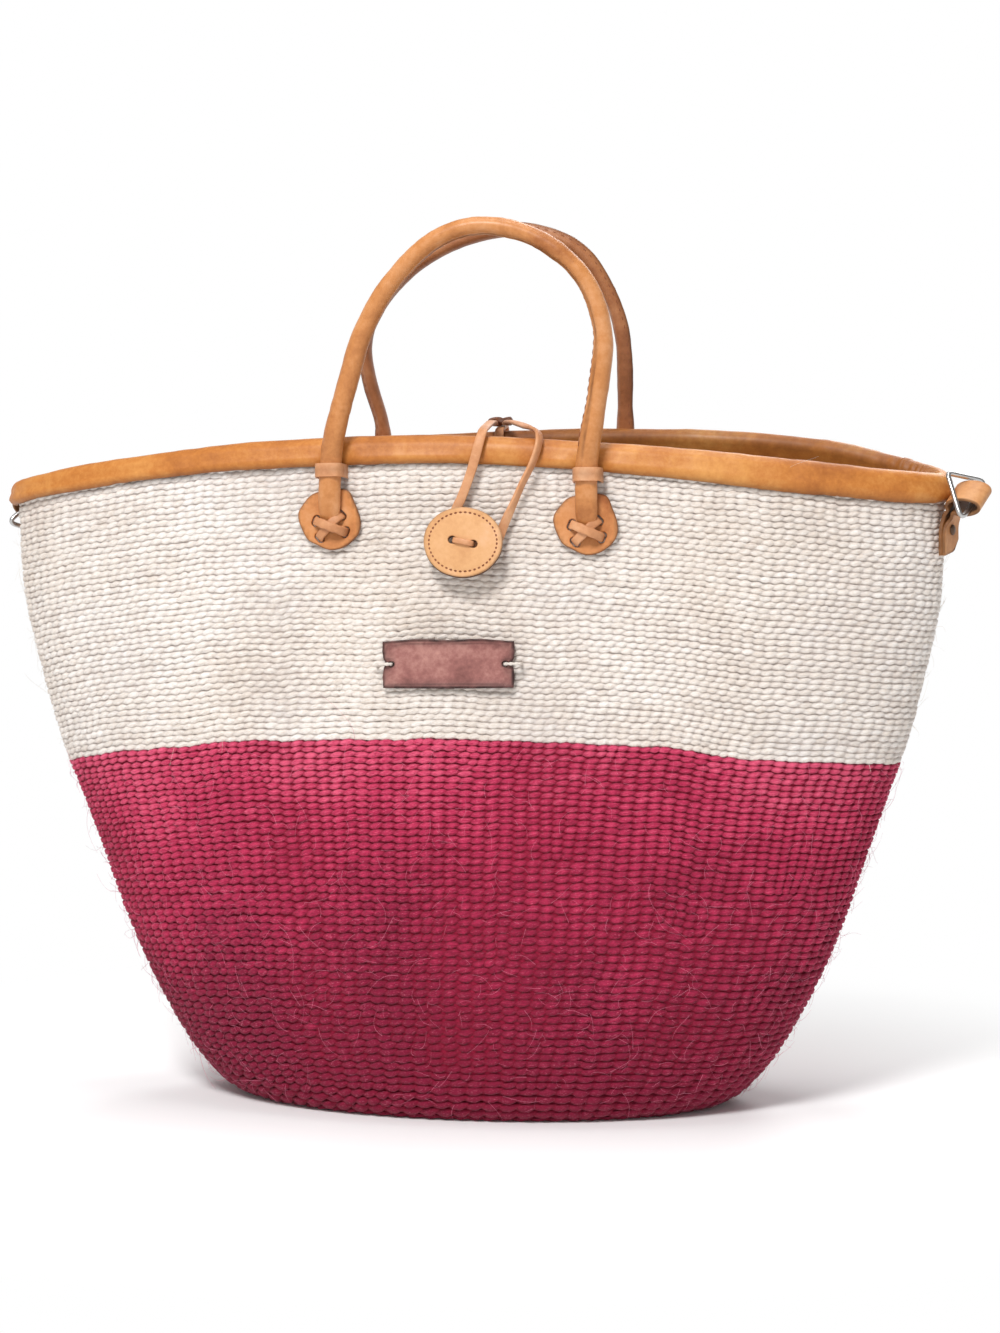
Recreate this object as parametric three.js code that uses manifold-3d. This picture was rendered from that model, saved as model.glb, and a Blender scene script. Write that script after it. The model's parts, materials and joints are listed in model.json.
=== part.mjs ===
// A twined sisal basket (kiondo) with a leather-bound mouth, two rolled leather
// handles, a button with a leather closure loop, a sewn leather patch and a
// folded leather strap with a wire triangle at each end.
// Millimetres. +X is to the right, -Y is the front, +Z is up.
// The origin is the middle of the flat underside.

import * as THREE from 'three';
import { mergeVertices } from 'three/addons/utils/BufferGeometryUtils.js';
import Module from 'manifold-3d';

const wasm = await Module();
wasm.setup();

// Fit
const clearance = 0.3;         // gap between pieces that touch
const overrun = 1;             // how far a cutting tool runs past a face

// Woven body
const rimHeight = 317;         // middle of the front rim above the table
const rimHalfWidth = 222;      // woven wall at the mouth
const bodyHalfDepth = 76;      // woven wall where it is deepest
const rimDrop = 26;            // from the middle of the front rim to its lowest end
const rimShift = 4.5;          // the mouth sits this far to the left of the base
const wallThickness = 5;
const baseThickness = 5;
const baseTurnUpShare = 0.05;  // of the height, woven with the base
const colourChangeShare = 0.563;
// Heights of the rings that round the foot of the base
const footShares = [0, 0.012, 0.03];
const stations = 56;           // corners of every ring
const lowerRows = 6;
const upperRows = 5;

// Half width and half depth of the wall against its height, each as a share
const widthShares = [
  [0, 0.5], [0.02, 0.556], [0.05, 0.6], [0.1, 0.65], [0.2, 0.721], [0.3, 0.778],
  [0.4, 0.824], [0.5, 0.871], [0.6, 0.92], [0.7, 0.955], [0.8, 0.986], [0.9, 0.998], [1, 1],
];
const depthShares = [
  [0, 0.79], [0.02, 0.875], [0.05, 0.928], [0.1, 0.974], [0.2, 1], [0.3, 0.987],
  [0.4, 0.96], [0.5, 0.92], [0.6, 0.88], [0.7, 0.835], [0.8, 0.783], [0.9, 0.724], [1, 0.658],
];
// Drop of the rim at equal steps of angle, from the right end round by the back
const dropShares = [
  0.66, 0.48, 0.13, 0.01, 0.09, 0.33, 0.71, 0.94, 1, 0.8, 0.45, 0.12, 0, 0.14, 0.4, 0.61,
];

// Bound rim
const bindingSkin = 1.6;
const bindingHeight = 12;
const coreDiameter = 7.8;
const coreSides = 8;

// Handles
const handleHalfSpan = 60;     // leg centre from the basket's middle
const handleRise = 108;        // top of the handle's centre line above its hinge line
const handleDiameter = 10.4;
const handleSkin = 1.6;
const handleLean = 3;          // degrees towards the mouth
const handleSides = 10;
const handleBoreSides = 6;
const ropeSides = 6;
const handleSteps = 26;
// Centre line of each handle: sideways as shares of the half span, upwards as
// shares of the rise
const frontHandleShares = [
  [-1.01, 0], [-0.98, 0.11], [-0.85, 0.387], [-0.77, 0.535], [-0.56, 0.748], [-0.2, 0.943],
  [0.15, 1], [0.59, 0.943], [0.94, 0.781], [1.09, 0.557], [1.07, 0.361], [1, 0.108], [0.97, 0],
];
const backHandleShares = [
  [-0.97, 0], [-0.985, 0.11], [-1.11, 0.292], [-1.17, 0.466], [-1.14, 0.575], [-0.99, 0.717],
  [-0.72, 0.86], [-0.3, 0.975], [0.15, 1], [0.6, 0.907], [0.84, 0.724], [0.97, 0.523],
  [1, 0.148], [1, 0],
];

// Leather tabs at the feet of the handles
const tabHalfWidth = 15;
const tabHeight = 28;
const tabThickness = 2;
const tabGap = 0.5;            // behind the tab, where the wall curves away
const tabDepth = 41;           // centre of the tab's tie below the rim
const tongueFootRise = 8.5;    // from the tie to the foot of the tongue
const tongueFootThickness = 6.4;
const tongueTopThickness = 7.8;
const tongueSides = 12;
const tongueSteps = 5;
// Outline of a tab about its tie: shares of the half width and of the height
const tabOutlineShares = [
  [0.5, 0.6], [0.79, 0.35], [0.94, 0.1], [0.88, -0.12], [0.5, -0.32], [0, -0.39],
  [-0.47, -0.29], [-0.79, -0.17], [-1.03, 0.17], [-0.85, 0.39], [-0.44, 0.57],
];

// Flat leather laces
const laceWidth = 4.2;
const laceThickness = 1.7;
const crossOverSpan = 13.6;
const crossOverTilt = -22;     // degrees
const crossUnderSpan = 13;
const crossUnderTilt = 44;     // degrees
const backerDiameter = 23;
const backerThickness = 1.8;
const backerSides = 16;
const keeperHeight = 5.6;
const keeperThickness = 1.1;
const keeperGap = 1.2;         // between the binding and the keeper

// Button and its lace
const buttonX = 3;
const buttonDepth = 49;        // centre below the rim
const buttonWidth = 36.4;
const buttonHeight = 32;
const buttonLayer = 2;
const buttonStandOff = 6.4;    // room for the closure loop behind the button
const buttonTilt = -11.6;      // degrees, the slope of its two holes
const buttonHoleSpan = 10.6;
const buttonSides = 28;
const buttonLaceWidth = 2.6;
const washerDiameter = 19;

// Closure loop
const thongWidth = 4.4;
const thongThickness = 2;
const knotDiameter = 9;
const knotHeight = 5;
const knotX = 1.5;
const anchorRoom = 0.8;        // round the binding, which leans with the wall
// Route of the flat thong: out of the knot, over the front rim, round behind the
// button and back
const closureRoute = [
  [-1.6, 41.6, 318.6], [1, 22, 320.2], [6, -18, 320.4], [9, -44, 320], [9.4, -52.6, 318.7],
  [8.4, -56.2, 313.5], [5.4, -57.4, 302], [0.8, -58.4, 289], [-4.6, -60, 277], [-7.6, -61.3, 268],
  [-6, -62, 262], [1, -62.3, 257.8], [9, -62.3, 257.6], [14.6, -61.9, 261], [17.6, -61.2, 268],
  [21.4, -59.8, 280], [27.4, -57.9, 295], [32.4, -57, 305.4], [34.8, -55.8, 313.3],
  [34.4, -52.2, 318], [30, -42, 319.8], [19, -8, 320.6], [8.5, 26, 320.2], [4.6, 41.6, 318.6],
];
const closureSteps = 46;

// Sewn leather patch
const patchX = -4;
const patchDepth = 104;        // centre below the rim
const patchWidth = 61;
const patchHeight = 22.5;
const patchThickness = 2;
const patchHoleInset = 4;      // from the patch's end to its hole
const yarnDiameter = 1.6;
const stitchReach = 3;         // from the patch's end to where the yarn enters the wall
const patchSag = 1;            // how far the wall curves away behind the patch's ends

// Folded straps and wire triangles at the ends
const strapWidth = 16;
const strapThickness = 3.6;    // two layers
const strapDrop = 25;          // from the triangle's pivot to the strap's lower end
const rollGap = 3.4;           // from the wall to the roll, which stands off over the binding
const rollReach = 18;
const rollHeight = 9;
const rollSkin = 1.8;
const rollSides = 20;
const neckDrop = 10;           // from the triangle's pivot to where the layers meet
const rivetDiameter = 2.4;
const rivetHeadDiameter = 5;
const rivetHeadThickness = 1;
const rivetDrop = 13.5;        // from the triangle's pivot to the rivet
const rivetInnerGap = 1.8;     // behind the wall, which is curved there
const wireDiameter = 2.4;
const ringSide = 33;
const ringHeight = 18;
const ringCornerRadius = 2.6;
const ringOffset = 2.5;        // pivot of the triangle outwards from the roll's middle
const rightStrapAngle = -5;    // degrees round the body
const leftStrapAngle = 164;
const strapDepth = 13;         // pivot of the triangle below the rim
const strapTilt = 30;          // degrees, one end of the roll is higher
const rightRingLean = 33;      // degrees from upright towards the rim
const leftRingHang = 1;        // degrees from straight down
// Lower edge of a strap: shares of its half width and of its drop
const strapEndShares = [[-1, -1], [0.3, -0.94], [1, -0.7]];

// Materials

function sisal(colour) {
  return new THREE.MeshStandardMaterial({ color: colour, roughness: 0.95, metalness: 0 });
}

function leather(colour) {
  return new THREE.MeshStandardMaterial({ color: colour, roughness: 0.55, metalness: 0 });
}

function wire() {
  return new THREE.MeshStandardMaterial({ color: 0x9a9896, roughness: 0.3, metalness: 1 });
}

const naturalSisal = 0xe6dccf;
const magentaSisal = 0xa82c52;
const rimLeather = 0xdd9a5e;
const handleLeather = 0xc98e60;
const buttonLeather = 0xebb588;
const patchLeather = 0xa9705f;

// Small helpers

const radians = THREE.MathUtils.degToRad;

function vector(x, y, z) {
  return new THREE.Vector3(x, y, z);
}

// Smooth curve through a table of [place, value] pairs.
function valueAt(table, place) {
  const last = table.length - 1;
  let i = 0;
  while (i < last - 1 && place > table[i + 1][0]) i += 1;
  const slope = (k) => {
    const a = table[Math.max(k - 1, 0)];
    const b = table[Math.min(k + 1, last)];
    return (b[1] - a[1]) / (b[0] - a[0]);
  };
  const [x0, y0] = table[i];
  const [x1, y1] = table[i + 1];
  const span = x1 - x0;
  const t = (place - x0) / span;
  const u = 1 - t;
  const rise = u * u * (1 + 2 * t) * y0 + t * t * (3 - 2 * t) * y1;
  return rise + t * u * span * (u * slope(i) - t * slope(i + 1));
}

// Smooth curve round a closed table of equally spaced values.
function valueRound(table, angle) {
  const count = table.length;
  const turn = ((angle / (2 * Math.PI)) % 1 + 1) % 1;
  const i = Math.floor(turn * count);
  const t = turn * count - i;
  const at = (k) => table[(k + count) % count];
  const [p, q, r, s] = [at(i - 1), at(i), at(i + 1), at(i + 2)];
  const bend = (3 * (q - r) + s - p) * t + 2 * p - 5 * q + 4 * r - s;
  return q + 0.5 * t * (r - p + t * bend);
}

// A closed body from shared corners and triangles, faces outwards.
function closedGeometry(points, triangles) {
  let volume = 0;
  for (const [a, b, c] of triangles) {
    volume += points[a].dot(points[b].clone().cross(points[c]));
  }
  const outward = volume > 0 ? triangles : triangles.map(([a, b, c]) => [a, c, b]);
  const geometry = new THREE.BufferGeometry().setFromPoints(points);
  geometry.setIndex(outward.flat());
  return geometry;
}

function quadsBetween(from, to, count) {
  const triangles = [];
  for (let j = 0; j < count; j += 1) {
    const k = (j + 1) % count;
    triangles.push([from + j, to + j, to + k], [from + j, to + k, from + k]);
  }
  return triangles;
}

// A ring-shaped body: closed sections carried round and joined to the first.
function ringBody(sections) {
  const size = sections[0].length;
  const triangles = sections.flatMap((section, i) => (
    quadsBetween(i * size, ((i + 1) % sections.length) * size, size)
  ));
  return closedGeometry(sections.flat(), triangles);
}

// A body through a row of closed sections, with a flat cap on each end.
function loftBody(sections) {
  const size = sections[0].length;
  const points = sections.flat();
  const triangles = [];
  for (let i = 0; i < sections.length - 1; i += 1) {
    triangles.push(...quadsBetween(i * size, (i + 1) * size, size));
  }
  const end = (sections.length - 1) * size;
  for (let j = 1; j < size - 1; j += 1) {
    triangles.push([0, j, j + 1], [end, end + j + 1, end + j]);
  }
  return closedGeometry(points, triangles);
}

function ellipsePoints(halfWidth, halfHeight, sides) {
  return Array.from({ length: sides }, (_, i) => {
    const angle = (2 * Math.PI * i) / sides;
    return new THREE.Vector2(halfWidth * Math.cos(angle), halfHeight * Math.sin(angle));
  });
}

function rectanglePoints(left, right, bottom, top) {
  return [
    new THREE.Vector2(left, bottom), new THREE.Vector2(right, bottom),
    new THREE.Vector2(right, top), new THREE.Vector2(left, top),
  ];
}

// A flat outline, with any holes, made thick along +Z.
function plate(outline, thickness, holes = []) {
  const shape = new THREE.Shape(outline);
  shape.holes = holes.map((points) => new THREE.Path(points));
  return new THREE.ExtrudeGeometry(shape, { depth: thickness, bevelEnabled: false });
}

function toSolid(geometry) {
  const bare = geometry.clone();
  bare.deleteAttribute('normal');
  bare.deleteAttribute('uv');
  const merged = mergeVertices(bare, clearance / 1000);
  return new wasm.Manifold(new wasm.Mesh({
    numProp: 3,
    vertProperties: new Float32Array(merged.attributes.position.array),
    triVerts: new Uint32Array(merged.index.array),
  }));
}

function toGeometry(solid) {
  const { numProp, vertProperties, triVerts } = solid.getMesh();
  const geometry = new THREE.BufferGeometry();
  const positions = new Float32Array((vertProperties.length / numProp) * 3);
  for (let i = 0; i < positions.length / 3; i += 1) {
    positions.set(vertProperties.subarray(i * numProp, i * numProp + 3), i * 3);
  }
  geometry.setAttribute('position', new THREE.BufferAttribute(positions, 3));
  geometry.setIndex(new THREE.BufferAttribute(new Uint32Array(triVerts), 1));
  return geometry;
}

function join(geometries) {
  return toGeometry(geometries.map(toSolid).reduce((all, next) => all.add(next)));
}

function cut(geometry, cutters) {
  return toGeometry(cutters.map(toSolid).reduce((all, next) => all.subtract(next), toSolid(geometry)));
}

function piece(name, geometry, material) {
  const mesh = new THREE.Mesh(geometry, material);
  mesh.name = name;
  return mesh;
}

// Shape of the woven body

function heightAt(heightShare, angle) {
  const drop = rimDrop * valueRound(dropShares, angle);
  return rimHeight * heightShare - drop * heightShare * (2 - heightShare);
}

function outwardAt(heightShare, angle) {
  const halfWidth = rimHalfWidth * valueAt(widthShares, heightShare);
  const halfDepth = bodyHalfDepth * valueAt(depthShares, heightShare);
  return vector(Math.cos(angle) / halfWidth, Math.sin(angle) / halfDepth, 0).normalize();
}

function bodyPoint(heightShare, angle, outset = 0) {
  const halfWidth = rimHalfWidth * valueAt(widthShares, heightShare);
  const x = halfWidth * Math.cos(angle) - rimShift * heightShare ** 2;
  const y = bodyHalfDepth * valueAt(depthShares, heightShare) * Math.sin(angle);
  const point = vector(x, y, heightAt(heightShare, angle));
  return point.addScaledVector(outwardAt(heightShare, angle), outset);
}

function stationAngles() {
  return Array.from({ length: stations }, (_, i) => (2 * Math.PI * i) / stations);
}

// The place on the wall's outer face at a height below the rim: its own group,
// with local +X along the wall, +Y up the wall and +Z outwards.
function wallSeat(angle, depthBelowRim) {
  const heightShare = 1 - depthBelowRim / rimHeight;
  const step = clearance / rimHeight;
  const origin = bodyPoint(heightShare, angle);
  const up = bodyPoint(heightShare + step, angle).sub(bodyPoint(heightShare - step, angle));
  const along = bodyPoint(heightShare, angle + step).sub(bodyPoint(heightShare, angle - step));
  const out = along.clone().cross(up).normalize();
  up.addScaledVector(out, -up.dot(out)).normalize();
  const right = up.clone().cross(out).normalize();
  const seat = new THREE.Group();
  seat.position.copy(origin);
  seat.setRotationFromMatrix(new THREE.Matrix4().makeBasis(right, up, out));
  seat.updateMatrixWorld(true);
  return seat;
}

// Angle round the body of a point on the front (side -1) or back (side 1) wall.
function wallAngle(x, depthBelowRim, side) {
  const heightShare = 1 - depthBelowRim / rimHeight;
  const halfWidth = rimHalfWidth * valueAt(widthShares, heightShare);
  return side * Math.acos((x + rimShift * heightShare ** 2) / halfWidth);
}

// A turned-up bowl with a flat underside: rings of corners from the middle of
// the underside, up round the edge and back to the middle of the floor.
function baseGeometry() {
  const rings = [
    (angle) => bodyPoint(0, angle).multiplyScalar(0.5),
    ...[...footShares, baseTurnUpShare].map((share) => (angle) => bodyPoint(share, angle)),
    (angle) => bodyPoint(baseTurnUpShare, angle, -wallThickness),
    (angle) => bodyPoint(0, angle, -wallThickness).add(vector(0, 0, baseThickness)),
  ];
  const points = rings.flatMap((ring) => stationAngles().map(ring));
  const triangles = [];
  for (let i = 0; i < rings.length - 1; i += 1) {
    triangles.push(...quadsBetween(i * stations, (i + 1) * stations, stations));
  }
  const under = points.push(vector(0, 0, 0)) - 1;
  const floor = points.push(vector(0, 0, baseThickness)) - 1;
  const last = (rings.length - 1) * stations;
  for (let j = 0; j < stations; j += 1) {
    const k = (j + 1) % stations;
    triangles.push([under, j, k], [last + j, floor, last + k]);
  }
  return closedGeometry(points, triangles);
}

function bandGeometry(fromShare, toShare, rows) {
  const shares = Array.from({ length: rows }, (_, i) => (
    THREE.MathUtils.lerp(fromShare, toShare, i / (rows - 1))
  ));
  return ringBody(stationAngles().map((angle) => [
    ...shares.map((share) => bodyPoint(share, angle)),
    ...shares.toReversed().map((share) => bodyPoint(share, angle, -wallThickness)),
  ]));
}

// Rim: a round core lies on the wall's edge, and leather wraps both

const coreRadius = coreDiameter / 2;
const coreDepth = bindingSkin + clearance + coreRadius;
const wallTopDepth = coreDepth + coreRadius + clearance;
const wallTopShare = 1 - wallTopDepth / rimHeight;
const wallMiddle = -wallThickness / 2;

// A section about the rim from pairs of outset and depth below the rim
function rimSections(pairs) {
  return stationAngles().map((angle) => pairs.map(([outset, depth]) => (
    bodyPoint(1 - depth / rimHeight, angle, outset)
  )));
}

function arcAboutCore(radius, degrees) {
  return degrees.map((degree) => [
    wallMiddle + radius * Math.cos(radians(degree)),
    coreDepth - radius * Math.sin(radians(degree)),
  ]);
}

function coreGeometry() {
  const degrees = Array.from({ length: coreSides }, (_, i) => (360 * i) / coreSides);
  return ringBody(rimSections(arcAboutCore(coreRadius, degrees)));
}

function bindingGeometry() {
  const inside = coreRadius + clearance;
  const overTop = [0, 45, 90, 135, 180];
  const lip = clearance + bindingSkin;
  return ringBody(rimSections([
    [lip, bindingHeight],
    ...arcAboutCore(inside + bindingSkin, overTop),
    [-wallThickness - lip, bindingHeight],
    [-wallThickness - clearance, bindingHeight],
    [-wallThickness - clearance, wallTopDepth - clearance],
    ...arcAboutCore(inside, overTop.toReversed()),
    [clearance, wallTopDepth - clearance],
    [clearance, bindingHeight],
  ]));
}

const bindingBulge = wallMiddle + coreRadius + clearance + bindingSkin;

// Closed flat band round a stack of pieces: its inside runs from low to high
// outwards, and span wide between its legs; the band lies along local X.
function bandRound(span, low, high, width, thickness = laceThickness) {
  const half = span / 2;
  const inner = rectanglePoints(-half, half, low, high);
  const outer = rectanglePoints(
    -half - thickness, half + thickness, low - thickness, high + thickness,
  );
  const band = plate(outer, width, [inner.toReversed()]);
  band.translate(0, 0, -width / 2);
  return band.rotateX(Math.PI / 2);
}

// The holes that the two legs of such a band need.
function bandHoles(span, low, high, width, thickness = laceThickness) {
  return [-1, 1].map((side) => {
    const hole = new THREE.BoxGeometry(
      thickness + 2 * clearance, width + 2 * clearance, high - low,
    );
    return hole.translate((side * (span + thickness)) / 2, 0, (high + low) / 2);
  });
}

const wallCutters = [];

// Remembers a cutter, given in a seat's own directions, for the woven wall.
function cutWallFrom(seat, cutters) {
  seat.updateMatrixWorld(true);
  for (const cutter of cutters) wallCutters.push(cutter.clone().applyMatrix4(seat.matrixWorld));
}

// Handles

const handleRadius = handleDiameter / 2;
const hingeDepth = bindingHeight - clearance;   // hinge line below the rim
const keeperDepth = bindingHeight + keeperGap + keeperHeight / 2;
const leanRoom = bindingHeight * Math.sin(radians(handleLean));
const tubeOutset = bindingBulge + clearance + leanRoom + handleRadius;

// Height and distance from the middle plane of a handle's foot
function handleFoot(side) {
  const angle = wallAngle(handleHalfSpan, hingeDepth, side);
  const wall = bodyPoint(1 - coreDepth / rimHeight, angle);
  const left = heightAt(1 - hingeDepth / rimHeight, wallAngle(-handleHalfSpan, hingeDepth, side));
  const right = heightAt(1 - hingeDepth / rimHeight, angle);
  return vector(0, wall.y + side * tubeOutset, Math.max(left, right));
}

function handlePath(shares) {
  return new THREE.CatmullRomCurve3(shares.map(([across, rise]) => (
    vector(across * handleHalfSpan, 0, rise * handleRise)
  )));
}

function alongPath(outline, holes, path, steps) {
  const shape = new THREE.Shape(outline);
  shape.holes = holes.map((points) => new THREE.Path(points));
  return new THREE.ExtrudeGeometry(shape, { steps, bevelEnabled: false, extrudePath: path });
}

function handle(place, side, shares) {
  const bore = handleRadius - handleSkin;
  const rope = bore * Math.cos(Math.PI / handleBoreSides) - clearance;
  const path = handlePath(shares);
  const group = new THREE.Group();
  group.position.copy(handleFoot(side)).add(vector(0, 0, 3 * clearance));
  group.rotation.x = side * radians(handleLean);
  const skin = alongPath(
    ellipsePoints(handleRadius, handleRadius, handleSides),
    [ellipsePoints(bore, bore, handleBoreSides).toReversed()], path, handleSteps,
  );
  const core = alongPath(ellipsePoints(rope, rope, ropeSides), [], path, handleSteps);
  group.add(piece(`${place}_handle_cover`, skin, leather(handleLeather)));
  group.add(piece(`${place}_handle_rope`, core, sisal(naturalSisal)));
  return group;
}

// The tongue runs down from the foot of the tube, flattening, to the tab. Its
// sections are given in the tab's own directions.
function tongueGeometry(seat, tubeFoot) {
  const top = seat.worldToLocal(tubeFoot.clone());
  top.z -= handleRadius - tongueTopThickness / 2;
  const foot = vector(0, tongueFootRise, tabGap + tabThickness - overrun);
  const sections = [];
  for (let i = 0; i <= tongueSteps; i += 1) {
    const t = i / tongueSteps;
    const ease = t * t * (3 - 2 * t);
    const centre = vector(
      top.x * t, THREE.MathUtils.lerp(foot.y, top.y, t), THREE.MathUtils.lerp(foot.z, top.z, ease),
    );
    const halfThickness = THREE.MathUtils.lerp(tongueFootThickness, tongueTopThickness, t) / 2;
    sections.push(ellipsePoints(handleRadius, halfThickness, tongueSides).map((corner) => (
      vector(centre.x + corner.x, centre.y, Math.max(centre.z + corner.y, tabGap))
    )));
  }
  return loftBody(sections);
}

function tabOutline() {
  const corners = tabOutlineShares.map(([across, up]) => (
    vector(across * tabHalfWidth, up * tabHeight, 0)
  ));
  const curve = new THREE.CatmullRomCurve3(corners, true);
  return curve.getPoints(2 * corners.length).slice(0, -1).map((p) => new THREE.Vector2(p.x, p.y));
}

// Levels of the stack at a tab, outwards from the wall's outer face
const tabTop = tabGap + tabThickness;
const insideWall = -wallThickness - tabGap;
const insideBacker = insideWall - backerThickness;

function crossTie(kind) {
  const over = kind === 'over';
  const rise = over ? laceThickness + clearance : 0;
  const span = over ? crossOverSpan : crossUnderSpan;
  const tilt = radians(over ? crossOverTilt : crossUnderTilt);
  const low = insideBacker - clearance - rise;
  const high = tabTop + clearance + rise;
  return {
    band: bandRound(span, low, high, laceWidth).rotateZ(tilt),
    holes: bandHoles(span, low, high, laceWidth).map((hole) => hole.rotateZ(tilt)),
  };
}

function handleFootFittings(place, hand, side) {
  const shares = side < 0 ? frontHandleShares : backHandleShares;
  const legShare = hand < 0 ? shares[0][0] : shares[shares.length - 1][0];
  const legX = legShare * handleHalfSpan;
  const angle = wallAngle(legX, tabDepth, side);
  const seat = wallSeat(angle, tabDepth);
  const name = (part) => `${place}_${part}`;
  const over = crossTie('over');
  const under = crossTie('under');
  const holes = [...over.holes, ...under.holes];
  const foot = handleFoot(side);
  const tubeFoot = vector(legX, foot.y, foot.z - clearance);
  const leaf = plate(tabOutline(), tabThickness).translate(0, 0, tabGap);
  const tab = cut(join([leaf, tongueGeometry(seat, tubeFoot)]), holes);
  const backer = plate(
    ellipsePoints(backerDiameter / 2, backerDiameter / 2, backerSides), backerThickness,
  ).translate(0, 0, insideBacker);
  seat.add(piece(name('tab'), tab, leather(handleLeather)));
  seat.add(piece(name('backer'), cut(backer, holes), leather(handleLeather)));
  seat.add(piece(name('tie_over'), over.band, leather(buttonLeather)));
  seat.add(piece(name('tie_under'), under.band, leather(buttonLeather)));
  cutWallFrom(seat, holes);
  return [seat, keeper(name('keeper'), tubeFoot, side)];
}

// A lace tied round the tongue and through the wall, just under the binding.
function keeper(name, tubeFoot, side) {
  const seat = wallSeat(wallAngle(tubeFoot.x, keeperDepth, side), keeperDepth);
  const span = handleDiameter + 4 * clearance;
  const tubeInside = seat.worldToLocal(tubeFoot.clone()).z - handleRadius;
  const outer = tubeInside + tongueTopThickness + clearance;
  const low = -wallThickness - tabGap;
  cutWallFrom(seat, bandHoles(span, low, outer, keeperHeight, keeperThickness));
  const band = bandRound(span, low, outer, keeperHeight, keeperThickness);
  seat.add(piece(name, band, leather(buttonLeather)));
  return seat;
}

// Button: two layers laced through the wall on a slack shank

function button() {
  const seat = wallSeat(wallAngle(buttonX, buttonDepth, -1), buttonDepth);
  const outline = () => ellipsePoints(buttonWidth / 2, buttonHeight / 2, buttonSides);
  const back = buttonStandOff;
  const front = back + buttonLayer + clearance;
  const high = front + buttonLayer + clearance;
  const low = insideBacker - clearance;
  const span = buttonHoleSpan - laceThickness;
  const tilt = radians(buttonTilt);
  const holes = bandHoles(span, low, high, buttonLaceWidth).map((hole) => hole.rotateZ(tilt));
  const lace = bandRound(span, low, high, buttonLaceWidth).rotateZ(tilt);
  const washer = plate(
    ellipsePoints(washerDiameter / 2, washerDiameter / 2, backerSides), backerThickness,
  ).translate(0, 0, insideBacker);
  const layer = (level) => cut(plate(outline(), buttonLayer).translate(0, 0, level), holes);
  seat.add(piece('button_back', layer(back), leather(handleLeather)));
  seat.add(piece('button_front', layer(front), leather(buttonLeather)));
  seat.add(piece('button_lace', lace, leather(buttonLeather)));
  seat.add(piece('button_washer', cut(washer, holes), leather(handleLeather)));
  cutWallFrom(seat, holes);
  return seat;
}

// Closure loop: a thong knotted on the back rim and hooked behind the button

function outwardFromMouth(point) {
  const below = THREE.MathUtils.clamp((rimHeight - point.z) / thongWidth + 1, 0, 1);
  const forward = point.y < 0 ? -below : 0;
  return vector(0, forward, 1 - below).normalize();
}

function thongGeometry() {
  const path = new THREE.CatmullRomCurve3(closureRoute.map(([x, y, z]) => vector(x, y, z)));
  const sections = path.getSpacedPoints(closureSteps).map((point, i) => {
    const along = path.getTangentAt(i / closureSteps);
    const across = along.clone().cross(outwardFromMouth(point)).normalize();
    const out = across.clone().cross(along);
    return ellipsePoints(thongWidth / 2, thongThickness / 2, 8).map((corner) => (
      point.clone().addScaledVector(across, corner.x).addScaledVector(out, corner.y)
    ));
  });
  return loftBody(sections);
}

// A band of thong hitched round the binding and through the wall, with a knot on it.
function closure() {
  const group = new THREE.Group();
  const seat = wallSeat(wallAngle(knotX, coreDepth, 1), coreDepth);
  const reach = bindingHeight - coreDepth + anchorRoom;
  const rise = coreDepth + anchorRoom;
  const across = coreRadius + bindingSkin + 2 * anchorRoom;
  const inside = rectanglePoints(-across, across, -reach, rise);
  const outside = rectanglePoints(
    -across - thongThickness, across + thongThickness,
    -reach - thongThickness, rise + thongThickness,
  );
  const anchor = plate(outside, thongWidth, [inside.toReversed()]);
  anchor.translate(0, 0, -thongWidth / 2).rotateY(Math.PI / 2).translate(0, 0, wallMiddle);
  const hole = new THREE.BoxGeometry(
    thongWidth + 2 * clearance, thongThickness + 2 * clearance, 2 * across,
  ).translate(0, -reach - thongThickness / 2, wallMiddle);
  const knot = new THREE.SphereGeometry(knotDiameter / 2, 12, 8);
  knot.scale(1, knotHeight / knotDiameter, 1);
  knot.translate(0, rise + thongThickness + clearance + knotHeight / 2, wallMiddle);
  cutWallFrom(seat, [hole]);
  seat.add(piece('closure_anchor', anchor, leather(buttonLeather)));
  seat.add(piece('closure_knot', knot, leather(handleLeather)));
  group.add(seat, piece('closure_thong', thongGeometry(), leather(buttonLeather)));
  return group;
}

// Patch: a plain leather plate held by a stitch at each end

function patch() {
  const seat = wallSeat(wallAngle(patchX, patchDepth, -1), patchDepth);
  const half = patchWidth / 2;
  const yarnHole = yarnDiameter + 2 * clearance;
  const hole = (x) => new THREE.BoxGeometry(yarnHole, yarnHole, patchThickness + 2 * overrun)
    .translate(x, 0, tabGap + patchThickness / 2);
  const plateBody = plate(
    rectanglePoints(-half, half, -patchHeight / 2, patchHeight / 2), patchThickness,
  ).translate(0, 0, tabGap);
  const holeX = half - patchHoleInset;
  seat.add(piece('patch', cut(plateBody, [hole(-holeX), hole(holeX)]), leather(patchLeather)));
  const low = insideWall - patchSag;
  const high = tabGap + patchThickness + clearance;
  const span = patchHoleInset + stitchReach - yarnDiameter;
  const middle = half + (stitchReach - patchHoleInset) / 2;
  const sides = { left: -1, right: 1 };
  for (const [name, side] of Object.entries(sides)) {
    const place = (geometry) => geometry.translate(side * middle, 0, 0);
    const yarn = bandRound(span, low, high, yarnDiameter, yarnDiameter);
    const through = bandHoles(span, low, high, yarnDiameter, yarnDiameter);
    seat.add(piece(`patch_stitch_${name}`, place(yarn), sisal(naturalSisal)));
    cutWallFrom(seat, through.map(place));
  }
  return seat;
}

// End straps. A seat's own directions: +X along the wall, +Y up, +Z outwards.

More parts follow.
